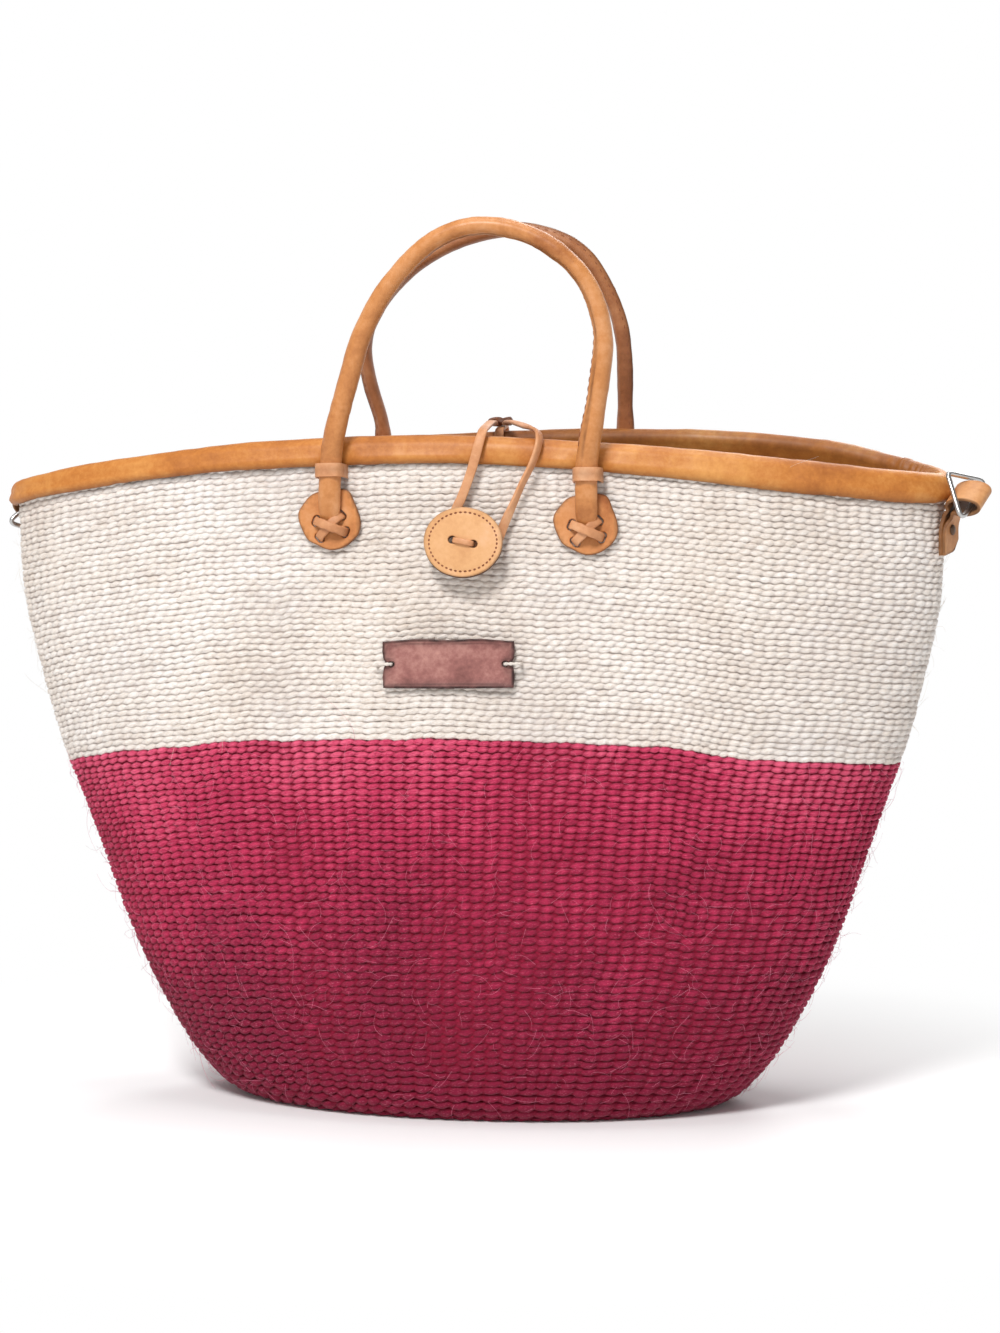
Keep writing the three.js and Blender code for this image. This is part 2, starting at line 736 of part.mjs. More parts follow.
const rollMiddle = rollGap + rollReach / 2;
const boreHalfHeight = rollHeight / 2 - rollSkin;
const boreHalfReach = rollReach / 2 - rollSkin;
const boreFloor = boreHalfHeight * Math.sqrt(1 - (ringOffset / boreHalfReach) ** 2);
// The wire lies on the floor of the roll, this far below the roll's middle
const pivotDrop = boreFloor - 2 * clearance - wireDiameter / 2;

// An outline in the outward and up directions, made thick along X about the middle.
function sidewaysPlate(points, width) {
  const outline = points.map(([out, up]) => new THREE.Vector2(out, up));
  return plate(outline, width).translate(0, 0, -width / 2).rotateY(-Math.PI / 2);
}

function rollOutline(halfReach, halfHeight) {
  const points = ellipsePoints(halfReach, halfHeight, rollSides);
  return points.map((point) => [rollMiddle + point.x, pivotDrop + point.y]);
}

// The two layers part at the neck, which is skewed, and go round the wire as a
// roll with one end higher.
function strapGeometry(tilt) {
  const hand = Math.sign(tilt);
  const half = strapWidth / 2;
  const rise = half * Math.tan(Math.abs(tilt));
  const top = strapThickness / 2 - neckDrop;
  const corners = [
    ...strapEndShares.map(([across, down]) => [across * half, down * strapDrop]),
    [half, top + rise], [-half, top - rise],
  ].map(([x, y]) => new THREE.Vector2(hand * x, y));
  const flat = plate(hand > 0 ? corners : corners.reverse(), strapThickness);
  flat.translate(0, 0, clearance);
  const neck = [
    [clearance, -neckDrop], [clearance + strapThickness, -neckDrop],
    [rollMiddle, pivotDrop - boreHalfHeight - rollSkin / 2],
    [rollGap + rollSkin / 2, pivotDrop], [clearance, strapThickness - neckDrop],
  ];
  const roll = rollOutline(rollReach / 2, rollHeight / 2);
  const bore = rollOutline(boreHalfReach, boreHalfHeight);
  const rivetRadius = rivetDiameter / 2 + clearance;
  const rivetHole = new THREE.CylinderGeometry(
    rivetRadius, rivetRadius, 2 * strapThickness + 2 * overrun, rollSides,
  ).rotateX(Math.PI / 2).translate(0, -rivetDrop, strapThickness / 2);
  const skew = new THREE.Matrix4().makeShear(Math.tan(tilt), 0, 0, 0, 0, 0);
  const solid = join([
    sidewaysPlate(roll, strapWidth).rotateZ(tilt),
    sidewaysPlate(neck, strapWidth).applyMatrix4(skew), flat,
  ]);
  return cut(solid, [sidewaysPlate(bore, 2 * strapWidth).rotateZ(tilt), rivetHole]);
}

// A two-headed rivet, turned about its own axis and laid along local Z.
function rivetGeometry() {
  const inner = -wallThickness - rivetInnerGap;
  const outer = strapThickness + 2 * clearance;
  const stem = rivetDiameter / 2;
  const head = rivetHeadDiameter / 2;
  const profile = [
    [0, inner - rivetHeadThickness], [head, inner - rivetHeadThickness], [head, inner],
    [stem, inner], [stem, outer], [head, outer], [head, outer + rivetHeadThickness],
    [0, outer + rivetHeadThickness],
  ].map(([radius, level]) => new THREE.Vector2(radius, level));
  return new THREE.LatheGeometry(profile, 12).rotateX(Math.PI / 2);
}

function rivetWallHole() {
  const radius = rivetDiameter / 2 + clearance;
  return new THREE.CylinderGeometry(radius, radius, 2 * wallThickness, 8)
    .rotateX(Math.PI / 2).translate(0, -rivetDrop, wallMiddle);
}

// Centre line of the wire triangle in its own plane: pivot side on local X.
function ringCentreLine() {
  const half = ringSide / 2;
  const corners = [[-half, 0], [half, 0], [0, ringHeight]].map(([x, y]) => new THREE.Vector2(x, y));
  const points = [];
  corners.forEach((corner, i) => {
    const before = corners[(i + 2) % 3].clone().sub(corner).normalize();
    const after = corners[(i + 1) % 3].clone().sub(corner).normalize();
    const halfAngle = before.angleTo(after) / 2;
    const setBack = ringCornerRadius / Math.tan(halfAngle);
    const from = corner.clone().addScaledVector(before, setBack);
    const to = corner.clone().addScaledVector(after, setBack);
    const curve = new THREE.QuadraticBezierCurve(from, corner, to);
    points.push(...curve.getPoints(4));
  });
  return points;
}

function ringGeometry() {
  const line = ringCentreLine();
  const sections = line.map((point, i) => {
    const next = line[(i + 1) % line.length];
    const last = line[(i + line.length - 1) % line.length];
    const along = next.clone().sub(last).normalize();
    const side = vector(along.y, -along.x, 0);
    return ellipsePoints(wireDiameter / 2, wireDiameter / 2, 8).map((corner) => (
      vector(point.x, point.y, corner.y).addScaledVector(side, corner.x)
    ));
  });
  return ringBody(sections);
}

function endStrap(place, angleDegrees, tiltDegrees, ringTurn) {
  const seat = wallSeat(radians(angleDegrees), strapDepth);
  const tilt = radians(tiltDegrees);
  const pivot = new THREE.Group();
  pivot.position.set(0, 0, rollMiddle + ringOffset);
  pivot.rotation.z = tilt;
  const ring = piece(`${place}_ring`, ringGeometry(), wire());
  ring.rotation.x = radians(ringTurn);
  const rivet = piece(`${place}_rivet`, rivetGeometry(), wire());
  rivet.position.set(0, -rivetDrop, 0);
  pivot.add(ring);
  seat.add(piece(`${place}_strap`, strapGeometry(tilt), leather(handleLeather)), pivot, rivet);
  cutWallFrom(seat, [rivetWallHole()]);
  return seat;
}

// The whole basket

function buildBasket() {
  const basket = new THREE.Group();
  const seam = clearance / rimHeight;
  basket.add(piece('woven_base', baseGeometry(), sisal(magentaSisal)));
  basket.add(piece('woven_lower_band', bandGeometry(
    baseTurnUpShare + seam, colourChangeShare, lowerRows,
  ), sisal(magentaSisal)));
  basket.add(piece('rim_core', coreGeometry(), sisal(naturalSisal)));
  basket.add(piece('rim_binding', bindingGeometry(), leather(rimLeather)));
  basket.add(handle('front', -1, frontHandleShares), handle('back', 1, backHandleShares));
  const feet = { front_left: [-1, -1], front_right: [1, -1], back_left: [-1, 1], back_right: [1, 1] };
  for (const [place, [hand, side]] of Object.entries(feet)) {
    basket.add(...handleFootFittings(place, hand, side));
  }
  basket.add(button(), closure(), patch());
  basket.add(endStrap('right', rightStrapAngle, strapTilt, -rightRingLean));
  basket.add(endStrap('left', leftStrapAngle, -strapTilt, 180 + leftRingHang));
  const upper = bandGeometry(colourChangeShare + seam, wallTopShare, upperRows);
  basket.add(piece('woven_upper_band', cut(upper, wallCutters), sisal(naturalSisal)));
  return basket;
}

export default buildBasket();
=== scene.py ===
import json
import math

import bmesh
import bpy
import numpy as np
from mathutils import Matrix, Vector


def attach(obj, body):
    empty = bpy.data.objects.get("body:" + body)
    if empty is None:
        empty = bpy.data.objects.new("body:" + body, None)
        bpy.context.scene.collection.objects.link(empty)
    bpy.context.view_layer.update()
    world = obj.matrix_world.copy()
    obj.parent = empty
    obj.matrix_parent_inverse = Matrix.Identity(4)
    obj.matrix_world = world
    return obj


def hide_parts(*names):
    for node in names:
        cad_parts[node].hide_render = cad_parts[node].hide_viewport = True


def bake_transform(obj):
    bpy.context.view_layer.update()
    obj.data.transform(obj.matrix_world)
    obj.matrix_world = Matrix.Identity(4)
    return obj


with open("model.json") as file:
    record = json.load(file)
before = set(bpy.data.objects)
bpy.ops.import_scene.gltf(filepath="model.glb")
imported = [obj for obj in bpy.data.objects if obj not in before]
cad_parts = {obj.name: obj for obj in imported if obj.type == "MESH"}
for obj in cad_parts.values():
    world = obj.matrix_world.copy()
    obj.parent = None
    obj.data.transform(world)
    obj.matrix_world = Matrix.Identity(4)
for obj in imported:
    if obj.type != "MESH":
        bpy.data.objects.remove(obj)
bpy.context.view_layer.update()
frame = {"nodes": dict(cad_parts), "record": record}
MM = 0.001

# Camera

AIM = Vector((0, 0, 0.2))
PHOTO_WIDTH, FOCAL_LENGTH = 1000, 4035  # in pixels
camera = bpy.data.objects.new("camera", bpy.data.cameras.new("camera"))
bpy.context.scene.collection.objects.link(camera)
bpy.context.scene.camera = camera
camera.location = (0.3299, -1.8711, 0.400)
camera.rotation_euler = (AIM - camera.location).to_track_quat("-Z", "Y").to_euler()
camera.data.sensor_fit = "HORIZONTAL"
camera.data.sensor_width = 36
camera.data.lens = FOCAL_LENGTH / PHOTO_WIDTH * camera.data.sensor_width
camera.data.shift_x = 0.018
camera.data.shift_y = 0.0115
camera.data.clip_end = 20

# Route of the closure thong, in metres: out of its knot on the back rim, over the
# front rim, round behind the button and back
CLOSURE_ROUTE = [
    (-0.0016, 0.0416, 0.3186), (0.001, 0.022, 0.3202), (0.006, -0.018, 0.3204),
    (0.009, -0.044, 0.32), (0.0094, -0.0526, 0.3187), (0.0084, -0.0562, 0.3135),
    (0.0054, -0.0574, 0.302), (0.0008, -0.0584, 0.289), (-0.0046, -0.06, 0.277),
    (-0.0076, -0.0613, 0.268), (-0.006, -0.062, 0.262), (0.001, -0.0623, 0.2578),
    (0.009, -0.0623, 0.2576), (0.0146, -0.0619, 0.261), (0.0176, -0.0612, 0.268),
    (0.0214, -0.0598, 0.28), (0.0274, -0.0579, 0.295), (0.0324, -0.057, 0.3054),
    (0.0348, -0.0558, 0.3133), (0.0344, -0.0522, 0.318), (0.03, -0.042, 0.3198),
    (0.019, -0.008, 0.3206), (0.0085, 0.026, 0.3202), (0.0046, 0.0416, 0.3186)]

# Shape of the body

RIM_HEIGHT = 317.0
RIM_HALF_WIDTH = 222.0
BODY_HALF_DEPTH = 76.0
RIM_DROP = 26.0
RIM_SHIFT = 4.5
WALL = 5.0
COLOUR_CHANGE = 0.563
BINDING_HEIGHT = 12.0
# shares of the largest half width and half depth at some shares of the height
WIDTHS = np.array([
    [0, 0.5], [0.02, 0.556], [0.05, 0.6], [0.1, 0.65], [0.2, 0.721], [0.3, 0.778],
    [0.4, 0.824], [0.5, 0.871], [0.6, 0.92], [0.7, 0.955], [0.8, 0.986], [0.9, 0.998], [1, 1]])
DEPTHS = np.array([
    [0, 0.79], [0.02, 0.875], [0.05, 0.928], [0.1, 0.974], [0.2, 1], [0.3, 0.987],
    [0.4, 0.96], [0.5, 0.92], [0.6, 0.88], [0.7, 0.835], [0.8, 0.783], [0.9, 0.724], [1, 0.658]])
# how far the mouth drops at equal angles from the right, as shares of the most
DROPS = np.array([0.66, 0.48, 0.13, 0.01, 0.09, 0.33, 0.71, 0.94, 1, 0.8, 0.45, 0.12, 0, 0.14,
                  0.4, 0.61])
FINE_STEP = 0.001  # of a height share or an angle, where a direction is measured


def value_at(table, place):
    """A table's smooth value at a place."""
    place = np.asarray(place, float)
    last = len(table) - 1
    i = np.clip(np.searchsorted(table[:, 0], place, side="right") - 1, 0, last - 1)
    before, after = np.maximum(np.arange(last + 1) - 1, 0), np.minimum(np.arange(last + 1) + 1, last)
    slopes = (table[after, 1] - table[before, 1]) / (table[after, 0] - table[before, 0])
    x0, y0, x1, y1 = table[i, 0], table[i, 1], table[i + 1, 0], table[i + 1, 1]
    span = x1 - x0
    t = (place - x0) / span
    u = 1 - t
    rise = u * u * (1 + 2 * t) * y0 + t * t * (3 - 2 * t) * y1
    return rise + t * u * span * (u * slopes[i] - t * slopes[i + 1])


def value_round(table, angle):
    """The smooth value at an angle of a table of values at equal angles."""
    count = len(table)
    turn = (np.asarray(angle, float) / (2 * math.pi)) % 1.0
    i = np.floor(turn * count).astype(int)
    t = turn * count - i
    p, q, r, s = (table[(i + k) % count] for k in (-1, 0, 1, 2))
    bend = (3 * (q - r) + s - p) * t + 2 * p - 5 * q + 4 * r - s
    return q + 0.5 * t * (r - p + t * bend)


def body_point(share, angle, outset=0.0):
    """A point of the wall's outer face, in millimetres, moved outwards by outset."""
    share, angle, outset = np.broadcast_arrays(
        *(np.asarray(value, float) for value in (share, angle, outset)))
    half_width = RIM_HALF_WIDTH * value_at(WIDTHS, share)
    half_depth = BODY_HALF_DEPTH * value_at(DEPTHS, share)
    cos, sin = np.cos(angle), np.sin(angle)
    z = RIM_HEIGHT * share - RIM_DROP * value_round(DROPS, angle) * share * (2 - share)
    out = np.stack([cos / half_width, sin / half_depth, np.zeros_like(cos)], -1)
    out /= np.linalg.norm(out, axis=-1, keepdims=True)
    point = np.stack([half_width * cos - RIM_SHIFT * share ** 2, half_depth * sin, z], -1)
    return point + out * outset[..., None]


def wall_angle(x, depth, side):
    """The angle at which the wall is at x, in front for side -1 and behind for side 1."""
    share = 1 - depth / RIM_HEIGHT
    half_width = RIM_HALF_WIDTH * float(value_at(WIDTHS, share))
    return side * math.acos((x + RIM_SHIFT * share ** 2) / half_width)


def normalised(v):
    return v / np.maximum(np.linalg.norm(v, axis=-1, keepdims=True), 1e-12)


def smoothstep(value, low, high):
    """0 up to low, 1 from high, smooth between."""
    t = np.clip((np.asarray(value, float) - low) / (high - low), 0, 1)
    return t * t * (3 - 2 * t)


def full_turn(count):
    """Equal angles round a circle."""
    return 2 * math.pi * np.arange(count) / count


def running_length(line):
    return np.concatenate([[0], np.cumsum(np.linalg.norm(np.diff(line, axis=0), axis=1))])


def wall_seat(angle, depth):
    """Origin and the three directions (along, up, out) of a place on the wall."""
    share = 1 - depth / RIM_HEIGHT
    origin = body_point(share, angle)
    up = body_point(share + FINE_STEP, angle) - body_point(share - FINE_STEP, angle)
    along = body_point(share, angle + FINE_STEP) - body_point(share, angle - FINE_STEP)
    out = normalised(np.cross(along, up))
    up = normalised(up - out * (up @ out))
    return origin, np.stack([np.cross(up, out), up, out])


# Mesh helpers

def link(obj):
    bpy.context.scene.collection.objects.link(obj)
    return obj


def mesh_object(name, points, faces, material=None, smooth=True, uv=None, attributes=None):
    """A mesh from points in millimetres and an array or list of faces."""
    mesh = bpy.data.meshes.new(name)
    points = np.asarray(points, float) * MM
    if isinstance(faces, np.ndarray):
        mesh.vertices.add(len(points))
        mesh.vertices.foreach_set("co", points.astype(np.float32).ravel())
        mesh.loops.add(faces.size)
        mesh.loops.foreach_set("vertex_index", faces.astype(np.int32).ravel())
        mesh.polygons.add(len(faces))
        starts = np.arange(0, faces.size, faces.shape[1], dtype=np.int32)
        mesh.polygons.foreach_set("loop_start", starts)
        mesh.update(calc_edges=True)
    else:
        mesh.from_pydata([tuple(p) for p in points], [], [tuple(f) for f in faces])
    if uv is not None:
        layer = mesh.uv_layers.new(name="OFBake")
        layer.data.foreach_set("uv", np.asarray(uv, np.float32).ravel())
    for key, values in (attributes or {}).items():
        values = np.asarray(values, np.float32)
        kind = "FLOAT_VECTOR" if values.ndim == 2 else "FLOAT"
        layer = mesh.attributes.new(key, kind, "POINT")
        layer.data.foreach_set("vector" if values.ndim == 2 else "value", values.ravel())
    mesh.polygons.foreach_set("use_smooth", np.full(len(mesh.polygons), smooth))
    mesh.validate()
    if material:
        mesh.materials.append(material)
    return link(bpy.data.objects.new(name, mesh))


def tube_faces(rings, sides, closed):
    """Faces between rings of corners; closed joins the last ring to the first."""
    count = rings if closed else rings - 1
    i = np.arange(count)[:, None]
    j = np.arange(sides)[None, :]
    a = i * sides + j
    b = i * sides + (j + 1) % sides
    c = ((i + 1) % rings) * sides + (j + 1) % sides
    d = ((i + 1) % rings) * sides + j
    return np.stack(np.broadcast_arrays(a, b, c, d), -1).reshape(-1, 4)


def tube_uv(count, sides, low, high):
    """Bake coordinates of tube_faces in the strip from low to high."""
    i = np.arange(count)[:, None] / count
    j = np.arange(sides)[None, :]
    u0, u1 = i * 0.998 + 0.001, (i + 1 / count) * 0.998 + 0.001
    v0, v1 = low + (high - low) * j / sides, low + (high - low) * (j + 1) / sides
    corners = [(u0, v0), (u0, v1), (u1, v1), (u1, v0)]
    return np.stack([np.stack(np.broadcast_arrays(*c), -1) for c in corners], -2).reshape(-1, 2)


# Materials

def new_material(name):
    """A material, its node tree and its main shader."""
    material = bpy.data.materials.new(name)
    material.use_nodes = True
    tree = material.node_tree
    return material, tree, tree.nodes["Principled BSDF"]


class Graph:
    """Small shorthand for building a node tree."""

    def __init__(self, tree):
        self.tree = tree

    def node(self, kind, inputs=None, **settings):
        node = self.tree.nodes.new(kind)
        for key, value in settings.items():
            setattr(node, key, value)
        for key, value in (inputs or {}).items():
            self.set(node.inputs[key], value)
        return node

    def set(self, socket, value):
        if isinstance(value, bpy.types.NodeSocket):
            self.tree.links.new(value, socket)
        else:
            socket.default_value = value

    def math(self, operation, a, b=0.0, clamp=False):
        node = self.node("ShaderNodeMath", {0: a, 1: b}, operation=operation, use_clamp=clamp)
        return node.outputs[0]

    def noise(self, vector, scale, detail=3.0, rough=0.6, distortion=0.0):
        return self.node("ShaderNodeTexNoise", {
            "Vector": vector, "Scale": scale, "Detail": detail, "Roughness": rough,
            "Distortion": distortion}).outputs["Fac"]

    def ramp(self, value, stops):
        node = self.node("ShaderNodeValToRGB", {"Fac": value})
        band = node.color_ramp
        while len(band.elements) < len(stops):
            band.elements.new(0.5)
        for element, (place, colour) in zip(band.elements, stops):
            element.position = place
            element.color = (*colour, 1)
        return node.outputs["Color"]

    def mix(self, factor, a, b):
        return self.node("ShaderNodeMix", {0: factor, 6: a, 7: (*b, 1)}, data_type="RGBA").outputs[2]

    def span(self, value, low, high, to_low=0.0, to_high=1.0):
        return self.node("ShaderNodeMapRange", {
            "Value": value, "From Min": low, "From Max": high,
            "To Min": to_low, "To Max": to_high}).outputs[0]

    def weighted(self, a, weight_a, b, weight_b):
        return self.math("ADD", self.math("MULTIPLY", a, weight_a), self.math("MULTIPLY", b, weight_b))

    def bump(self, height, distance, strength=1.0, normal=None):
        inputs = {"Height": height, "Distance": distance, "Strength": strength}
        if normal is not None:
            inputs["Normal"] = normal
        return self.node("ShaderNodeBump", inputs).outputs[0]

    def attribute(self, name, output="Fac"):
        return self.node("ShaderNodeAttribute", attribute_name=name).outputs[output]

    def place(self, scale=(1, 1, 1)):
        coordinates = self.node("ShaderNodeTexCoord").outputs["Object"]
        if scale == (1, 1, 1):
            return coordinates
        return self.node("ShaderNodeMapping", {"Vector": coordinates, "Scale": scale}).outputs[0]


def srgb(r, g, b):
    """A colour of 0 to 255 as the shader's own numbers."""
    def linear(c):
        c /= 255
        return c / 12.92 if c <= 0.04045 else ((c + 0.055) / 1.055) ** 2.4
    return linear(r), linear(g), linear(b)


def sisal_material(name, *colours, gap_shade_share):
    """Streaked strands; the colours are dark, middle, light, the flecks' and the shade painted in the
    gaps between strands.
    """
    dark, middle, light, fleck, gap_shade_colour = (srgb(*colour) for colour in colours)
    material, tree, shader = new_material(name)
    g = Graph(tree)
    fibre = g.attribute("fibre", "Vector")
    streaks = g.noise(fibre, 2.2, 3.0, 0.65)
    patches = g.noise(g.place(), 11.0, 3.0, 0.55)
    # each stitch's random tone together with the shade painted by its height
    value = g.weighted(streaks, 0.7, g.attribute("tone_and_shade"), 0.3)
    value = g.math("ADD", value, g.math("MULTIPLY", g.math("SUBTRACT", patches, 0.5), 0.5))
    colour = g.ramp(value, [(0.25, dark), (0.5, middle), (0.72, light)])
    specks = g.span(g.noise(fibre, 5.0, 2.0, 0.5), 0.6, 0.72)
    colour = g.mix(g.math("MULTIPLY", specks, 0.5), colour, fleck)
    # painted shade: the nearer a corner lies to the wall's middle, deep between the strands, the more it
    # takes the gap shade colour
    gap_shade = g.span(g.attribute("depth"), 0.15, 0.85, gap_shade_share, 0.0)
    colour = g.mix(gap_shade, colour, gap_shade_colour)
    g.set(shader.inputs["Base Color"], colour)
    shader.inputs["Roughness"].default_value = 0.8
    shader.inputs["Specular IOR Level"].default_value = 0.2
    shader.inputs["Sheen Weight"].default_value = 0.06
    shader.inputs["Sheen Roughness"].default_value = 0.5
    height = g.math("ADD", streaks, g.math("MULTIPLY", g.noise(fibre, 9.0, 2.0, 0.6), 0.5))
    g.set(shader.inputs["Normal"], g.bump(height, 0.0005, 0.8))
    return material


def leather_material(name, *colours, grain=0.9, roughness=0.5, blotch=50.0, wrinkle=0.25):
    """Blotched leather, dark where the edge attribute says so, which marks dark cut edges and also
    painted shade; blotch is the blotches' scale.
    """
    dark, middle, light = (srgb(*colour) for colour in colours)
    material, tree, shader = new_material(name)
    g = Graph(tree)
    place = g.place()
    broad = g.noise(place, blotch, 4.0, 0.6, 0.4)
    fine = g.noise(place, 420.0, 3.0, 0.7)
    value = g.weighted(broad, 0.75, fine, 0.25)
    colour = g.ramp(value, [(0.3, dark), (0.5, middle), (0.7, light)])
    # the edge attribute darkens cut edges and also paints shade where a piece asks for it
    wear_and_shade = g.span(g.noise(place, 160.0), 0.3, 0.6, 0.65, 1.0)
    wear_and_shade = g.math("MULTIPLY", g.attribute("edge"), wear_and_shade, clamp=True)
    colour = g.mix(wear_and_shade, colour, tuple(c * 0.28 for c in dark))
    g.set(shader.inputs["Base Color"], colour)
    g.set(shader.inputs["Roughness"], g.span(broad, 0.3, 0.7, roughness + 0.08, roughness - 0.08))
    shader.inputs["Specular IOR Level"].default_value = 0.3
    pores = g.node("ShaderNodeTexVoronoi", {"Vector": place, "Scale": 1400.0 / grain},
                   feature="DISTANCE_TO_EDGE").outputs["Distance"]
    normal = g.bump(pores, 0.00008 * grain, 0.35)
    normal = g.bump(g.noise(place, 900.0 / grain, 2.0), 0.0001 * grain, 0.4, normal)
    folds = g.noise(g.place((1.0, 1.0, 0.35)), 130.0, 3.0, 0.55, 0.6)
    g.set(shader.inputs["Normal"], g.bump(folds, 0.0006, wrinkle, normal))
    return material


def plain_material(name, colour, roughness, metallic=0.0, scratch=0.0):
    """A slightly clouded material of one colour, finely scratched along its height."""
    material, tree, shader = new_material(name)
    g = Graph(tree)
    place = g.place()
    cloud = g.noise(place, 60.0, 4.0, 0.6)
    g.set(shader.inputs["Base Color"], g.ramp(cloud, [
        (0.3, tuple(c * 0.78 for c in colour)), (0.7, colour)]))
    shader.inputs["Metallic"].default_value = metallic
    g.set(shader.inputs["Roughness"], g.span(cloud, 0.3, 0.7, roughness * 1.35, roughness * 0.8))
    if scratch:
        g.set(shader.inputs["Normal"], g.bump(
            g.noise(g.place((1, 1, 8)), 300.0, 2.0), 0.0001, scratch))
    return material


# each material's last colour is the shade painted in the gaps between strands
NATURAL = sisal_material(
    "natural_sisal", (206, 190, 176), (233, 223, 214), (250, 246, 243), (220, 194, 166),
    (188, 176, 172), gap_shade_share=0.55)
MAGENTA = sisal_material(
    "magenta_sisal", (126, 16, 50), (188, 45, 84), (230, 96, 128), (236, 138, 160),
    (130, 10, 42), gap_shade_share=0.85)
RIM_LEATHER = leather_material(
    "rim_leather", (142, 77, 28), (182, 113, 50), (208, 147, 79),
    grain=1.0, roughness=0.46, blotch=26.0, wrinkle=0.35)
HANDLE_LEATHER = leather_material(
    "handle_leather", (152, 90, 46), (190, 126, 73), (212, 154, 108),
    roughness=0.38, blotch=34.0, wrinkle=0.35)
# the back handle's leather: a darker copy of the handle leather, painted shade
SHADED_LEATHER = leather_material(
    "shaded_leather", (112, 64, 34), (146, 90, 54), (172, 116, 76),
    roughness=0.42, blotch=34.0, wrinkle=0.35)
LACE_LEATHER = leather_material(
    "lace_leather", (166, 106, 66), (198, 140, 98), (220, 170, 130),
    grain=0.8, blotch=40.0, wrinkle=0.15)
PATCH_LEATHER = leather_material(
    "patch_leather", (88, 48, 44), (146, 94, 88), (196, 146, 134), blotch=26.0, wrinkle=0.2)
DARK_LEATHER = leather_material(
    "dark_leather", (58, 30, 18), (92, 52, 32), (132, 80, 50), wrinkle=0.2)
TAB_LEATHER = leather_material(
    "tab_leather", (158, 92, 46), (194, 128, 74), (210, 152, 106), roughness=0.46)
BUTTON_LEATHER = leather_material(
    "button_leather", (192, 135, 86), (212, 160, 110), (224, 176, 140),
    grain=0.8, roughness=0.55, blotch=30.0, wrinkle=0.1)
STRAP_LEATHER = leather_material(
    "strap_leather", (148, 96, 56), (186, 128, 80), (212, 158, 108))
WIRE = plain_material("steel_wire_bright", (0.62, 0.61, 0.6), 0.28, 1.0, 0.15)
RIVET_METAL = plain_material("rivet_metal", (0.16, 0.1, 0.07), 0.4, 1.0, 0.15)
THREAD = plain_material("leather_thread", srgb(134, 76, 44), 0.7)
YARN = plain_material("white_yarn", srgb(226, 216, 206), 0.85, 0.0, 0.3)
HAIR_NATURAL = plain_material("loose_natural", srgb(236, 226, 212), 0.6)
HAIR_MAGENTA = plain_material("loose_magenta", srgb(224, 120, 148), 0.6)

# Woven body

STEPS = 4  # corners of a strand in each stitch
SIDES = 6
CORNERS = 2 * math.pi * (np.arange(SIDES) + 0.5) / SIDES
# a strand's middle from the middle of the wall, its half depth, its half height where it dips
# and how much more where it shows, how far it wanders up and down, in shares of a row, and how
# far a row slips along itself, in shares of a stitch
NATURAL_TWIST = {"out": 0.6, "half": 1.65, "thin": 0.34, "thick": 0.31, "sway": 0.15, "slip": 0.2}
MAGENTA_TWIST = {"out": 1.25, "half": 1.2, "thin": 0.3, "thick": 0.25, "sway": 0.14, "slip": 0.06}
# how much darker the strands are painted at some height shares: painted shade, darkest at the
# floor and the foot of the wall, turning to painted light (below zero) near the colour change; none on
# the natural
NATURAL_PAINTED_SHADE = np.array([[0, 0], [1, 0]])
MAGENTA_PAINTED_SHADE = np.array([[0, 1.3], [0.12, 1.05], [0.3, 0.4], [0.56, -0.35]])
SEAM = math.pi / 2  # rows start and end behind
FLOOR_PITCH = 3.9
FLOOR_HALF_DEPTH = BODY_HALF_DEPTH * DEPTHS[0, 1]
COLOUR_GAP = 0.0043
SHADE_SLEEVE_HALF = 0.35


def ring_line(share, scale=1.0, samples=1441):
    """Angles and running lengths of a row, starting at the seam."""
    angle = SEAM + np.linspace(0, 2 * math.pi, samples)
    return angle, running_length(body_point(share, angle, -WALL / 2)) * scale


def wall_rows(low, high, pitches, widths):
    """Share, pitch and stitch width of rows from low to high; pitches and widths hold pairs
    of a height share and a size in mm."""
    shares, share, pitch = [], low, 0.0
    while share < high + pitch / RIM_HEIGHT / 2:
        pitch = np.interp(share, *np.array(pitches).T)
        shares.append((share, pitch))
        share += pitch / RIM_HEIGHT
    stretch = (high - low) / (shares[-1][0] - low)
    rows = [(low + (s - low) * stretch, p) for s, p in shares]
    return [(s, p, np.interp(s, *np.array(widths).T)) for s, p in rows]


def floor_rows():
    """The same for the rings of the floor, whose share is minus their size."""
    rows, scale = [], 0.04
    while scale < 0.995:
        rows.append((-scale, FLOOR_PITCH, 6.8))
        scale += FLOOR_PITCH / FLOOR_HALF_DEPTH
    return rows


def with_new_stitches(places, wanted, rng):
    """Places of the stitches in a row, with new ones in the widest gaps, then evened out."""
    while len(places) < wanted:
        gaps = np.diff(np.append(places, places[0] + 1)) * rng.uniform(0.9, 1.1, len(places))
        gap = int(np.argmax(gaps[:-1]))
        places = np.insert(places, gap + 1, (places[gap] + places[gap + 1]) / 2)
    for _ in range(2):
        before = np.roll(places, 1)
        before[0] -= 1
        after = np.roll(places, -1)
        after[-1] += 1
        places = places + 0.35 * ((before + after) / 2 - places)
    return places


def noise_between(values, count):
    """Closed smooth noise through values at count equal steps."""
    knots = len(values)
    values = np.concatenate([values, values[:3]])
    t = np.arange(count) / count * knots
    i = t.astype(int)
    f = t - i
    f = f * f * (3 - 2 * f)
    return values[i] * (1 - f) + values[i + 1] * f


def smooth_noise(rng, count, knots):
    """Closed smooth noise of unit size at count equal steps."""
    return noise_between(rng.normal(size=knots), count)


